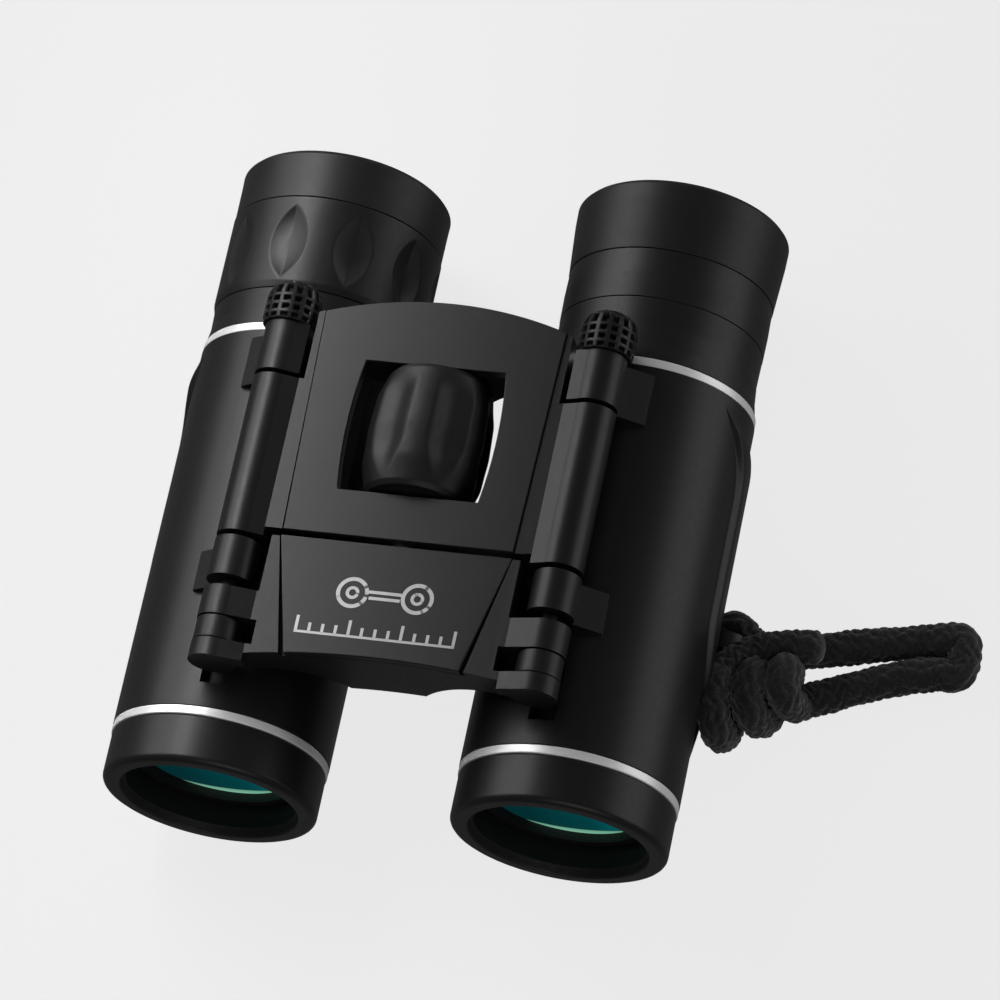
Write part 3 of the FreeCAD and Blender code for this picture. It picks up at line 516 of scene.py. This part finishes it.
def bezel_ring(name, side):
    """The ring round the objective: a rounded front, a baffled mouth and the spigot behind it."""
    body = f"{name}_barrel"
    axis = barrel_axis(side)
    front = BEZEL.low.y
    back = Span(f"{name}_front_trim_ring").low.y
    spigot = Span(f"{name}_front_bezel").high.y
    baffles = []
    for groove in range(BAFFLES):
        station = front + BAFFLE_BACK - BAFFLE_PITCH * groove
        baffles += [(OPENING, station, 0.0), (OPENING + BAFFLE_DEPTH, station - BAFFLE_PITCH / 2, 0.0)]
    corners = [
        (OPENING + 0.75, front, 0.3),
        (BEZEL_RADIUS, front, 0.95),
        (BEZEL_RADIUS, back - 0.05, 0.22),
        (SKIRT_INNER, back - 0.05, 0.0),
        (SKIRT_INNER, spigot, 0.1),
        (SPIGOT_INNER, spigot, 0.1),
        (SPIGOT_INNER, front + SEAT_DEPTH, 0.0),
        (OPENING, front + SEAT_DEPTH, 0.1),
        *baffles,
        (OPENING, front + 1.2, 0.1),
        (OPENING + 0.3, front + 0.9, 0.15),
    ]
    ring = turned(f"{name}_bezel_ring", corners, axis, body, SHELL, "satin_shell", [f"{name}_front_bezel"])
    ring.data.materials.append(INNER)
    for face in ring.data.polygons:
        reach = math.hypot(face.center.x / MM - axis[0], face.center.z / MM - axis[1])
        if reach < OPENING + INNER_REACH and face.center.y / MM > front + INNER_START:
            face.material_index = 1


def silver_ring(name, side, place):
    """The bright ring at one end of a barrel."""
    node = f"{name}_{place}_trim_ring"
    span = Span(node)
    inner = RING_INNER[place]
    outer = span.size.x / 2
    corners = [
        (inner, span.low.y + RING_GAP, 0.0),
        (outer, span.low.y + RING_GAP, RING_EDGE),
        (outer, span.high.y - RING_GAP, RING_EDGE),
        (inner, span.high.y - RING_GAP, 0.0),
    ]
    piece = f"{name}_{place}_silver_ring"
    turned(piece, corners, barrel_axis(side), f"{name}_barrel", TRIM, "bright_trim", [node])


for side_name, side in SIDES.items():
    bezel_ring(side_name, side)
    for place in RING_INNER:
        silver_ring(side_name, side, place)


# ---- shapes shared by several pieces ----


def eased(share):
    """A share of 0 to 1 that starts and ends gently."""
    share = min(max(share, 0.0), 1.0)
    return share * share * (3 - 2 * share)


def leaf_depth(across, along, half_width, half_length, depth):
    """The depth of a leaf-shaped scoop between two arcs, at a place measured from its middle."""
    bend = (half_width**2 + half_length**2) / (2 * half_width)
    inside = bend - math.hypot(abs(across) + bend - half_width, along)
    share = min(max(inside / half_width, 0.0), 1.0)
    return depth * (2 * share - share * share)


def from_nearest(angle, first, step):
    """The signed angle from the nearest of a ring of evenly spaced directions."""
    return (angle - first + step / 2) % step - step / 2


PLATE_EDGE = 0.16


def plate(name, outlines, low, high, node):
    """A flat plate seen from above, from closed outlines: the first is its edge and the others are
    holes. Its edges are rounded by a small radius, and it stands for a CAD node."""
    curve = bpy.data.curves.new(name, "CURVE")
    curve.dimensions = "2D"
    curve.fill_mode = "BOTH"
    for outline in outlines:
        spline = curve.splines.new("POLY")
        spline.points.add(len(outline) - 1)
        for point, place in zip(spline.points, outline):
            point.co = (place[0] * MM, place[1] * MM, 0, 1)
        spline.use_cyclic_u = True
    curve.extrude = ((high - low) / 2 - PLATE_EDGE) * MM
    curve.bevel_depth = PLATE_EDGE * MM
    curve.bevel_resolution = 3
    curve.offset = -PLATE_EDGE * MM
    mesh = bpy.data.meshes.new_from_object(bpy.data.objects.new(name, curve))
    bpy.data.curves.remove(curve)
    mesh.transform(Matrix.Translation((0, 0, (low + high) / 2 * MM)))
    mesh.materials.clear()
    finished(name, mesh, NODE_BODY[node], SHELL, [node], sharp=32.0)


def bowed(start, end, rise, steps=24):
    """Points from start up to end along a shallow arc that stands a rise to the left of the chord."""
    start = Vector(start)
    chord = Vector(end) - start
    side = Vector((-chord.y, chord.x)).normalized()
    points = []
    for step in range(steps):
        share = step / steps
        points.append(start + chord * share + side * rise * 4 * share * (1 - share))
    return points


# ---- the eyepieces ----

CUP_REAR = 47.5
CUP_INNER = 13.13
CUP_SEAT = 42.6
EYE_OPENING = 9.3
SLEEVE_INNER = 13.15
HOUSING_OUTER = 13.1
HOUSING_BORE = 11.9
HOUSING_SPIGOT = 13.37
HOUSING_SKIRT = 15.2


def eyecup(name, side, start, neck):
    """The soft cup: a slight flare, a rounded rim and a dished seat for the eye."""
    corners = [
        (CUP_INNER, start, 0.1),
        (neck, start, 0.1),
        (15.25, start + 0.7 * (CUP_REAR - start), 8.0),
        (15.3, 46.7, 0.5),
        (14.6, CUP_REAR, 0.7),
        (13.4, CUP_REAR, 0.6),
        (12.6, 46.4, 0.8),
        (11.4, 43.5, 0.6),
        (EYE_OPENING, 43.5, 0.3),
        (EYE_OPENING, CUP_SEAT, 0.1),
        (CUP_INNER, CUP_SEAT, 0.0),
    ]
    node = f"{name}_eyecup"
    turned(f"{name}_soft_cup", corners, barrel_axis(side), NODE_BODY[node], RUBBER, "rubber_black", [node])


def moulded_ring(name, corners, side, node, **shape):
    """A turned piece of black plastic on a barrel's axis, which stands for a CAD node."""
    turned(name, corners, barrel_axis(side), NODE_BODY[node], MOULDED, "moulded_black", [node], **shape)


def eyepieces():
    """The cups, the housings that carry them, and the left one's collar."""
    eyecup("left", 1, 36.7, 14.75)
    eyecup("right", -1, 39.8, 15.2)
    sleeve = [
        (HOUSING_OUTER, 42.5, 0.2),
        (HOUSING_BORE, 42.5, 0.2),
        (HOUSING_BORE, 12.2, 0.0),
        (HOUSING_SPIGOT, 12.2, 0.2),
        (HOUSING_SPIGOT, 19.6, 0.0),
    ]
    left = [
        (HOUSING_SKIRT, 19.62, 0.15),
        (14.75, 22.0, 3.0),
        (14.5, 25.0, 4.0),
        (14.6, 29.1, 0.1),
        (HOUSING_OUTER, 29.1, 0.0),
    ]
    moulded_ring("left_housing", left + sleeve, 1, "left_eyepiece_housing")
    right = [
        (HOUSING_SKIRT, 19.62, 0.15),
        (14.9, 22.0, 3.0),
        (15.0, 25.24, 0.1),
        (HOUSING_OUTER, 25.24, 0.0),
    ]
    moulded_ring("right_housing", right + sleeve, -1, "right_eyepiece_housing")
    collar = [
        (SLEEVE_INNER, 29.15, 0.1),
        (14.65, 29.14, 0.1),
        (14.72, 32.9, 6.0),
        (14.65, 36.66, 0.1),
        (SLEEVE_INNER, 36.65, 0.1),
    ]
    moulded_ring("left_collar", collar, 1, "left_collar_ring")


DIMPLES = 10
DIMPLE_STEP = math.tau / DIMPLES
DIMPLE_START = math.radians(-9.0)
DIMPLE_MIDDLE = 32.5
DIMPLE_HALF_WIDTH = 2.9
DIMPLE_HALF_LENGTH = 5.85
DIMPLE_DEPTH = 0.7
OUTER_SKIN = 14.5


def dimpled(angle, station, radius):
    """Leaf-shaped finger dimples round the dioptre ring's outer skin."""
    if radius < OUTER_SKIN:
        return 0.0
    across = from_nearest(angle, DIMPLE_START, DIMPLE_STEP) * radius
    return leaf_depth(across, station - DIMPLE_MIDDLE, DIMPLE_HALF_WIDTH, DIMPLE_HALF_LENGTH, DIMPLE_DEPTH)


def dioptre_ring():
    """The right eyepiece's turning ring."""
    corners = [
        (SLEEVE_INNER, 25.3, 0.1),
        (15.05, 25.3, 0.1),
        (15.3, 26.3, 1.0),
        (15.3, 39.68, 0.15),
        (SLEEVE_INNER, 39.68, 0.1),
    ]
    moulded_ring("dioptre_grip", corners, -1, "dioptre_ring", sides=720, relief=dimpled, fine=0.3)


# ---- the hinge knobs and the focus wheel ----

KNOB_FOOT = 16.7
KNOB_TOP = 23.2
KNOB_RADIUS = 3.95
KNOB_BORE = 1.13
KNOB_BORE_END = 21.5
KNOB_CENTRE = 0.001
PIT_COLUMNS = 15
PIT_STEP = math.tau / PIT_COLUMNS
PIT_ROW = 1.3
PIT_DEPTH = 0.8
PIT_REACH = 0.68
PIT_WALL = 0.34
DOME_START = 4.1
DOME_SLOPE = 1.15
PITS_FADE = 2.6


def knurled(angle, station, radius):
    """Small square pits in rows, from the knob's foot up over its dome."""
    if station < KNOB_FOOT + 0.02 or radius < 1.0:
        return 0.0
    on_side = radius > KNOB_RADIUS - 0.05
    climb = station - KNOB_FOOT if on_side else DOME_START + (KNOB_RADIUS - radius) * DOME_SLOPE
    across = abs(from_nearest(angle, 0.0, PIT_STEP)) / (PIT_STEP / 2)
    along = abs((climb + 0.3) / PIT_ROW % 1 - 0.5) * 2
    pit = eased((PIT_REACH - max(across, along)) / PIT_WALL)
    return PIT_DEPTH * pit * min(1.0, radius / PITS_FADE)


def hinge_knobs():
    """A knurled knob on the rear end of each hinge pin."""
    for name, side in SIDES.items():
        corners = [
            (KNOB_BORE, KNOB_FOOT, 0.0),
            (3.8, KNOB_FOOT, 0.15),
            (KNOB_RADIUS, 17.6, 1.0),
            (KNOB_RADIUS, 20.9, 1.2),
            (3.5, 22.1, 1.4),
            (2.6, 22.95, 1.4),
            (1.4, KNOB_TOP, 0.8),
            (KNOB_CENTRE, KNOB_TOP, 0.0),
            (KNOB_CENTRE, KNOB_BORE_END, 0.0),
            (KNOB_BORE, KNOB_BORE_END, 0.0),
        ]
        node = f"{name}_hinge_knob"
        axis = (side * HINGE_X, HINGE_Z)
        turned(
            f"{name}_knurled_knob", corners, axis, NODE_BODY[node], MOULDED, "moulded_black", [node],
            sides=256, relief=knurled, fine=0.12,
        )


SCOOPS = 6
SCOOP_STEP = math.tau / SCOOPS
SCOOP_START = math.radians(-27.0)
SCOOP_FRONT = -6.2
SCOOP_LENGTH = 17.0
SCOOP_HALF_WIDTH = 3.1
SCOOP_DEPTH = 0.95
WHEEL_FRONT = -7.1
WHEEL_REAR = 11.4
WHEEL_BORE = 6.03
WHEEL_SHOULDER = 8.4


def scooped(angle, station, radius):
    """Soft scoops round the focus wheel, which start narrow at the objectives' end."""
    share = (station - SCOOP_FRONT) / SCOOP_LENGTH
    if radius < 6.5 or not 0 < share < 1:
        return 0.0
    half_width = SCOOP_HALF_WIDTH * min(1.0, math.sqrt(share * 3.0))
    across = from_nearest(angle, SCOOP_START, SCOOP_STEP) * WHEEL_SHOULDER / half_width
    if abs(across) >= 1:
        return 0.0
    return SCOOP_DEPTH * (1 - across * across) ** 1.7 * eased(share * 3.0) * eased((1 - share) * 4.0)


def focus_wheel():
    """The barrel-shaped rubber wheel."""
    corners = [
        (WHEEL_BORE, WHEEL_FRONT, 0.0),
        (6.95, WHEEL_FRONT, 0.25),
        (7.45, -6.4, 0.6),
        (WHEEL_SHOULDER, -3.0, 6.0),
        (8.7, 2.15, 12.0),
        (WHEEL_SHOULDER, 7.3, 6.0),
        (7.45, 10.7, 0.6),
        (6.95, WHEEL_REAR, 0.25),
        (WHEEL_BORE, WHEEL_REAR, 0.0),
    ]
    turned(
        "fluted_wheel", corners, (0, WHEEL_Z), NODE_BODY["focus_wheel_grip"], RUBBER, "rubber_black",
        ["focus_wheel_grip"], sides=480, relief=scooped, fine=0.25,
    )


# ---- the bridge's plates ----

ARC_STEPS = 32


def arc_across(start, end, centre, radius):
    """Points from one X to another along the rear of a circle whose centre lies on the Y axis."""
    points = []
    for step in range(ARC_STEPS + 1):
        x = start + (end - start) * step / ARC_STEPS
        points.append((x, centre + math.sqrt(radius**2 - x * x)))
    return points


WINDOW_HALF = 10.0
WINDOW_FRONT = -7.7
WINDOW_REAR = 12.0
WINDOW_BOW = 0.7


def top_cover():
    """The bridge's flat cover, with an arched rear edge and the focus wheel's window."""
    cover = [(-16.4, -14.5), (16.4, -14.5), *arc_across(17.4, -17.4, -32.63, 54.53)]
    window = [
        *bowed((WINDOW_HALF, WINDOW_FRONT), (WINDOW_HALF, WINDOW_REAR), -WINDOW_BOW),
        (WINDOW_HALF, WINDOW_REAR),
        *bowed((-WINDOW_HALF, WINDOW_REAR), (-WINDOW_HALF, WINDOW_FRONT), -WINDOW_BOW),
        (-WINDOW_HALF, WINDOW_FRONT),
    ]
    plate("top_cover", [cover, window], COVER.low.z, COVER.high.z, "bridge_cover")


def front_plate():
    """The carriage's plate, which narrows towards a gently curved front edge."""
    outline = [(16.5, -15.4), (-16.5, -15.4), *arc_across(-12.4, 12.4, -158.5, 126.4)]
    plate("front_plate", [outline], PLATE.low.z, PLATE.high.z, "nameplate")


# ---- the grip pads ----

PAD_REAR = 17.6
PAD_FRONT = -35.6
PAD_RISE = 0.85
PAD_HALF_ANGLE = 30.0
PAD_STATIONS = 170
PAD_ACROSS = 44
PAD_SUNK = 0.08
PAD_SHOULDER = 1.7
PAD_LEVEL = 8.0
PAD_REAR_RISE = 26.0
PAD_FRONT_FALL = 40.0


def pad_upper(station):
    """The angle above the horizontal of the pad's upper edge."""
    rearward = eased((station - 1.0) / 17.0) ** 2.5
    forward = eased((-12.0 - station) / 24.0)
    return PAD_LEVEL + PAD_REAR_RISE * rearward - PAD_FRONT_FALL * forward


def pad_half(station):
    """Half of the angle that the pad covers."""
    middle = (PAD_FRONT + PAD_REAR) / 2
    reach = (station - middle) / (PAD_REAR - middle)
    return PAD_HALF_ANGLE * max(0.0, 1 - reach * reach) ** 0.8


def grip_pad(name, side):
    """The raised leaf-shaped pad on a barrel's outer side."""
    points = []
    for raised in (True, False):
        for row in range(PAD_STATIONS + 1):
            station = PAD_FRONT + (PAD_REAR - PAD_FRONT) * row / PAD_STATIONS
            half = pad_half(station)
            to_tip = min(station - PAD_FRONT, PAD_REAR - station) * 0.35
            for column in range(PAD_ACROSS + 1):
                share = 2 * column / PAD_ACROSS - 1
                angle = math.radians(pad_upper(station) - half + half * share)
                to_edge = math.radians(half * (1 - abs(share))) * BARREL_RADIUS
                rise = PAD_RISE * eased(min(to_edge, to_tip) / PAD_SHOULDER) if raised else -0.05
                radius = BARREL_RADIUS - PAD_SUNK + rise
                points.append(
                    (
                        side * (BARREL_X + radius * math.cos(angle)),
                        station,
                        BARREL_Z + radius * math.sin(angle),
                    )
                )
    width = PAD_ACROSS + 1
    layer = (PAD_STATIONS + 1) * width
    faces = []
    for row in range(PAD_STATIONS):
        for column in range(PAD_ACROSS):
            here = row * width + column
            quad = (here, here + 1, here + width + 1, here + width)
            faces.append(quad)
            faces.append(tuple(layer + corner for corner in quad[::-1]))
        for column in (0, PAD_ACROSS):
            here = row * width + column
            faces.append((here, here + width, layer + here + width, layer + here))
    piece = f"{name}_soft_pad"
    node = f"{name}_grip_pad"
    mesh = mesh_of(piece, points, faces)
    finished(piece, mesh, NODE_BODY[node], SHELL, [node], sharp=60.0, weighted=False)


# ---- the printed marks ----


def stroke(start, end, width):
    """A rectangle along a line."""
    start = Vector(start)
    end = Vector(end)
    side = (end - start).normalized() * width / 2
    side = Vector((-side.y, side.x))
    return [start - side, end - side, end + side, start + side]


def disc_ring(centre, outer, inner, steps=48):
    """The quads of a flat ring."""
    quads = []
    for step in range(steps):
        first = math.tau * step / steps
        second = math.tau * (step + 1) / steps
        corners = ((outer, first), (outer, second), (inner, second), (inner, first))
        quads.append(
            [Vector((centre[0] + r * math.cos(a), centre[1] + r * math.sin(a))) for r, a in corners]
        )
    return quads


SIGN_ROW = -22.9
SIGN_HALF = 4.6
BAR_WIDTH = 0.45
LINE_WIDTH = 0.35
TICK_WIDTH = 0.42
SCALE_ROW = -28.2
SCALE_START = -11.4
SCALE_LENGTH = 22.3
TICKS = 13
LONG_TICK = 2.3
SHORT_TICK = 1.35
INK_ABOVE = 0.03
INK_BELOW = 0.02


def printed_marks():
    """A sign of two rings joined by two bars, and under it a plain ruled scale."""
    quads = []
    for centre in (-SIGN_HALF, SIGN_HALF):
        quads += disc_ring((centre, SIGN_ROW), 2.3, 1.75)
        quads += disc_ring((centre, SIGN_ROW), 0.95, 0.5)
    quads.append(stroke((-2.3, SIGN_ROW + 0.35), (2.3, SIGN_ROW + 0.35), BAR_WIDTH))
    quads.append(stroke((-2.2, SIGN_ROW - 0.55), (2.2, SIGN_ROW - 0.55), BAR_WIDTH))
    quads.append(stroke((-11.6, SCALE_ROW - 1.15), (11.1, SCALE_ROW - 1.15), LINE_WIDTH))
    for tick in range(TICKS):
        x = SCALE_START + SCALE_LENGTH * tick / (TICKS - 1)
        tall = LONG_TICK if tick % 4 == 0 else SHORT_TICK
        quads.append(stroke((x, SCALE_ROW - 1.1), (x, SCALE_ROW - 1.1 + tall), TICK_WIDTH))
    points = []
    faces = []
    for quad in quads:
        first = len(points)
        points += [(point.x, point.y, PLATE.high.z + INK_ABOVE) for point in quad]
        points += [(point.x, point.y, PLATE.high.z - INK_BELOW) for point in quad]
        faces.append([first, first + 1, first + 2, first + 3])
        faces.append([first + 7, first + 6, first + 5, first + 4])
        for here in range(4):
            after = (here + 1) % 4
            faces.append([first + here, first + 4 + here, first + 4 + after, first + after])
    mesh = mesh_of("plate_marks", points, faces)
    body = NODE_BODY["nameplate"]
    finished("plate_marks", mesh, body, PRINT, sharp=30.0, weighted=False)


# ---- what shows straight from the frame ----

WELD_REACH = 0.002
FLAT_ANGLE = 0.6
CASTING_EDGE = 0.28
ARM_EDGE = 0.25


def bevelled(node, width):
    """Rounds a CAD piece's edges as it is shown, and leaves its mesh alone."""
    item = frame["nodes"][node]
    weld = item.modifiers.new("Weld", "WELD")
    weld.merge_threshold = WELD_REACH * MM
    level = item.modifiers.new("Level", "DECIMATE")
    level.decimate_type = "DISSOLVE"
    level.angle_limit = math.radians(FLAT_ANGLE)
    bevel = item.modifiers.new("Soft edges", "BEVEL")
    bevel.width = width * MM
    bevel.segments = 3
    bevel.limit_method = "ANGLE"
    bevel.angle_limit = math.radians(35)
    bevel.miter_outer = "MITER_ARC"
    even = item.modifiers.new("Even shading", "WEIGHTED_NORMAL")
    even.keep_sharp = True


def finish_frame():
    """Gives every CAD piece its material, by the slot that the record gives it, but the hinge pins take
    the inner black as painted shade.
    """
    finishes = {
        "satin_shell": SHELL,
        "moulded_black": MOULDED,
        "rubber_black": RUBBER,
        "bright_trim": TRIM,
        "inner_black": INNER,
        "steel": STEEL,
        "brass": BRASS,
        "prism_glass": PRISM,
        "strap_cord": CORD,
    }
    slots = {entry["node"]: entry["material_slot"] for entry in frame["record"]["subparts"]}
    for node, item in frame["nodes"].items():
        slot_name = slots[node]
        # The hinge pins take the deepest matte black, a painted shade that keeps the gaps round them dark.
        if node.endswith("hinge_pin"):
            slot_name = "inner_black"
        if node == "bridge_frame":
            finish = BRIDGE_CAST
        elif slot_name == "coated_glass":
            finish = GLASS["left" if node.startswith("left") else "right"]
        else:
            finish = finishes[slot_name]
        item.data.materials.clear()
        item.data.materials.append(finish)


eyepieces()
dioptre_ring()
hinge_knobs()
focus_wheel()
top_cover()
front_plate()
printed_marks()
for casting in ("bridge_frame", "focus_carriage", "left_barrel_shell", "right_barrel_shell"):
    bevelled(casting, CASTING_EDGE)
for side_name, side in SIDES.items():
    grip_pad(side_name, side)
    bevelled(f"{side_name}_focus_arm", ARM_EDGE)
finish_frame()


# ---- the strap ----

CORD_DIAMETER = 4.9
CORD_SIDES = 64
CORD_SPACING = 0.2
YARNS = 8
YARN_TWIST_MM = 21.0
YARN_HEIGHT = 0.5
YARN_SINK = 0.42
YARN_ROUND = 0.6
END_ROUNDING = 1.7
WRAP_TURNS = 2.6
WRAP_POINTS = 14
WRAP_PITCH = 4.4
WRAP_START = 40.2
WRAP_PHASE = 0.12
BUNDLE_START = 41.0
BUNDLE_LENGTH = 11.0
BUNDLE_FRONT = -26.4
BUNDLE_REAR = -16.4
BUNDLE_LOW = 2.6
BUNDLE_HIGH = 10.7


def wraps():
    """The turns round the bundle, from the barrel outwards, each a little shorter than the last."""
    points = []
    count = round(WRAP_TURNS * WRAP_POINTS)
    for step in range(count + 1):
        angle = math.tau * (step / WRAP_POINTS + WRAP_PHASE)
        x = WRAP_START + WRAP_PITCH * angle / math.tau
        share = (x - BUNDLE_START) / BUNDLE_LENGTH
        front = BUNDLE_FRONT + 7.2 * share
        rear = BUNDLE_REAR + 2.0 * share**2
        high = BUNDLE_HIGH - 0.9 * share
        along = math.cos(angle)
        up = math.sin(angle)
        y = (front + rear) / 2 + (rear - front) / 2 * math.copysign(abs(along) ** 0.72, along)
        z = (BUNDLE_LOW + high) / 2 + (high - BUNDLE_LOW) / 2 * math.copysign(abs(up) ** 0.8, up)
        lean = (0.2 + 0.25 * share) * max(0.0, y - (front + rear) / 2)
        against_barrel = 0.3 * max(0.0, 7.0 - z) * max(0.0, 1 - share * 2)
        points.append((x + lean - against_barrel, y, z))
    return points


def strap_route():
    """From the sealed tail over the rear of the bundle, round the wraps, out along the loop and back,
    through the strap tab from behind and into the middle of the bundle."""
    tail = [
        (55.2, -11.8, 8.5),
        (51.6, -12.1, 8.6),
        (48.0, -12.6, 8.5),
        (44.8, -13.9, 8.7),
    ]
    loop = [
        (54.2, -17.1, 2.65),
        (60.4, -14.4, 2.6),
        (66.0, -12.4, 2.6),
        (70.2, -11.4, 2.6),
        (72.8, -11.7, 2.6),
        (73.5, -10.4, 2.6),
        (73.5, -7.4, 2.6),
        (72.8, -5.9, 2.6),
        (69.6, -6.5, 2.6),
        (65.2, -7.4, 2.6),
        (60.2, -8.3, 2.65),
        (54.5, -9.8, 2.9),
    ]
    through_tab = [
        (49.4, -10.9, 2.8),
        (45.8, -11.2, 3.0),
        (43.2, -10.3, 3.7),
        (41.6, -8.4, 4.4),
        (39.9, -8.6, 4.3),
        (39.8, -11.0, 3.95),
        (39.8, -14.0, 3.95),
        (40.6, -17.6, 4.8),
        (44.2, -18.8, 6.3),
        (48.4, -17.9, 6.4),
        (52.3, -17.2, 6.1),
    ]
    return [*tail, *wraps(), *loop, *through_tab]


def spline_line(route, spacing):
    """Evenly spaced points along the NURBS line of a route, all in millimetres."""
    curve = bpy.data.curves.new("route", "CURVE")
    curve.dimensions = "3D"
    spline = curve.splines.new("NURBS")
    spline.points.add(len(route) - 1)
    for point, place in zip(spline.points, route):
        point.co = (*place, 1)
    spline.order_u = 3
    spline.use_endpoint_u = True
    spline.resolution_u = 24
    mesh = bpy.data.meshes.new_from_object(bpy.data.objects.new("route", curve))
    line = np.array([vertex.co for vertex in mesh.vertices])
    bpy.data.meshes.remove(mesh)
    bpy.data.curves.remove(curve)
    along = np.concatenate([[0], np.cumsum(np.linalg.norm(np.diff(line, axis=0), axis=1))])
    places = np.linspace(0, along[-1], math.ceil(along[-1] / spacing) + 1)
    return np.stack([np.interp(places, along, line[:, k]) for k in range(3)], axis=1), places


def braid(angle, place):
    """The height, 0 to 1, of a braid of two families of yarns that pass over and under each other."""
    turn = angle / math.tau + 0.04 * np.sin(place * 0.9) + 0.03 * np.sin(place * 2.3 + 1.0)
    first = YARNS * (turn + place / YARN_TWIST_MM)
    second = YARNS * (turn - place / YARN_TWIST_MM)
    across_first = np.abs(np.sin(math.pi * first)) ** YARN_ROUND
    across_second = np.abs(np.sin(math.pi * second)) ** YARN_ROUND
    first_over = np.cos(math.pi * (np.floor(first) + second - 0.5))
    second_over = -np.cos(math.pi * (np.floor(second) + first - 0.5))
    first_height = across_first * (0.55 + 0.45 * first_over)
    second_height = across_second * (0.55 + 0.45 * second_over)
    return np.maximum(first_height, second_height)


def strap_cord():
    """The braided tube along the route, with rounded ends."""
    line, places = spline_line(strap_route(), CORD_SPACING)
    ahead = np.gradient(line, axis=0)
    ahead /= np.linalg.norm(ahead, axis=1)[:, None]
    beside = [np.cross(ahead[0], (0, 0, 1))]
    for direction in ahead[1:]:
        carried = beside[-1] - direction * (beside[-1] @ direction)
        beside.append(carried / np.linalg.norm(carried))
    beside = np.array(beside)
    above = np.cross(ahead, beside)
    angle = np.linspace(0, math.tau, CORD_SIDES, endpoint=False)[None, :]
    place = places[:, None]
    to_end = np.minimum(place, places[-1] - place) / END_ROUNDING
    rounding = np.sqrt(np.clip(1 - (1 - np.minimum(to_end, 1)) ** 2, 0.01, 1))
    slack = 1 + 0.025 * np.sin(place * 0.47 + 1.3) + 0.02 * np.sin(place * 1.31) * np.sin(angle)
    fuzz = 0.05 * np.sin(9.0 * angle + 7.1 * place) * np.sin(5.3 * place - 3.0 * angle)
    core = CORD_DIAMETER / 2 - YARN_SINK
    radius = (core + YARN_HEIGHT * braid(angle, place) + fuzz) * slack * rounding
    around = beside[:, None, :] * np.cos(angle)[..., None] + above[:, None, :] * np.sin(angle)[..., None]
    points = line[:, None, :] + around * radius[..., None]
    rings = len(line)
    faces = []
    for ring in range(rings - 1):
        here = ring * CORD_SIDES
        there = here + CORD_SIDES
        for number in range(CORD_SIDES):
            after = (number + 1) % CORD_SIDES
            faces.append((here + number, here + after, there + after, there + number))
    faces.append(tuple(range(CORD_SIDES))[::-1])
    faces.append(tuple(range((rings - 1) * CORD_SIDES, rings * CORD_SIDES)))
    mesh = mesh_of("strap_braid", points.reshape(-1, 3), faces)
    replaced = ["strap_hank", "strap_loop", "strap_lead", "strap_knot"]
    cord = finished(
        "strap_braid", mesh, "left_barrel", CORD, replaced, sharp=60.0, weighted=False
    )


strap_cord()


# ---- the studio ----

FLOOR_SIZE = 6
FLOOR_DROP = 0.00005


def add_floor():
    """A pale, faintly glowing floor, which the object's dark plastic doesn't mirror."""
    finish = Finish("floor", Roughness=0.9, Specular_IOR_Level=0.1, Emission_Strength=0.79)
    cloud = finish.noise(3.0, 2.0)
    tone = finish.blended(cloud, (0.07, 0.07, 0.07, 1), (0.08, 0.08, 0.08, 1))
    finish.use(Base_Color=tone, Emission_Color=(1, 1, 1, 1))
    bpy.ops.mesh.primitive_plane_add(size=FLOOR_SIZE)
    floor = bpy.context.object
    floor.name = "floor"
    floor.location.z = -FLOOR_DROP
    floor.data.materials.append(finish.material)
    floor.visible_glossy = False
    floor.visible_diffuse = False
    floor.visible_shadow = False


def add_light(name, place, size, power, aim=(0, 0, 0.02), spread=180):
    """A softbox that faces its aim, its second size standing along Y as far as it can."""
    light = bpy.data.lights.new(name, "AREA")
    light.shape = "RECTANGLE"
    light.size, light.size_y = size
    light.energy = power
    light.spread = math.radians(spread)
    item = bpy.data.objects.new(name, light)
    back = (Vector(place) - Vector(aim)).normalized()
    along = (Vector((0, 1, 0)) - back * back.y).normalized()
    turn = Matrix((along.cross(back), along, back)).transposed()
    item.matrix_world = Matrix.Translation(place) @ turn.to_4x4()
    bpy.context.scene.collection.objects.link(item)


def add_world(strength):
    """An even, dim white surround."""
    world = bpy.data.worlds.new("Studio")
    world.use_nodes = True
    background = world.node_tree.nodes["Background"]
    background.inputs["Color"].default_value = (1, 1, 1, 1)
    background.inputs["Strength"].default_value = strength
    bpy.context.scene.world = world


add_floor()
add_light("Key", (-0.25, 0.16, 0.21), (0.17, 0.5), 0.74)
add_light("Gradient", (-0.1, 0.075, 0.187), (0.05, 0.22), 0.042, (-0.05, -0.01, 0.037), 50)
add_light("Side", (0.66, 0.27, 0.09), (0.5, 0.9), 1.6)
add_light("Fill", (0.3, -0.8, 0.5), (0.6, 0.4), 1.1, (0, 0, 0.03))
add_world(0.12)
bpy.context.scene.view_settings.view_transform = "Standard"
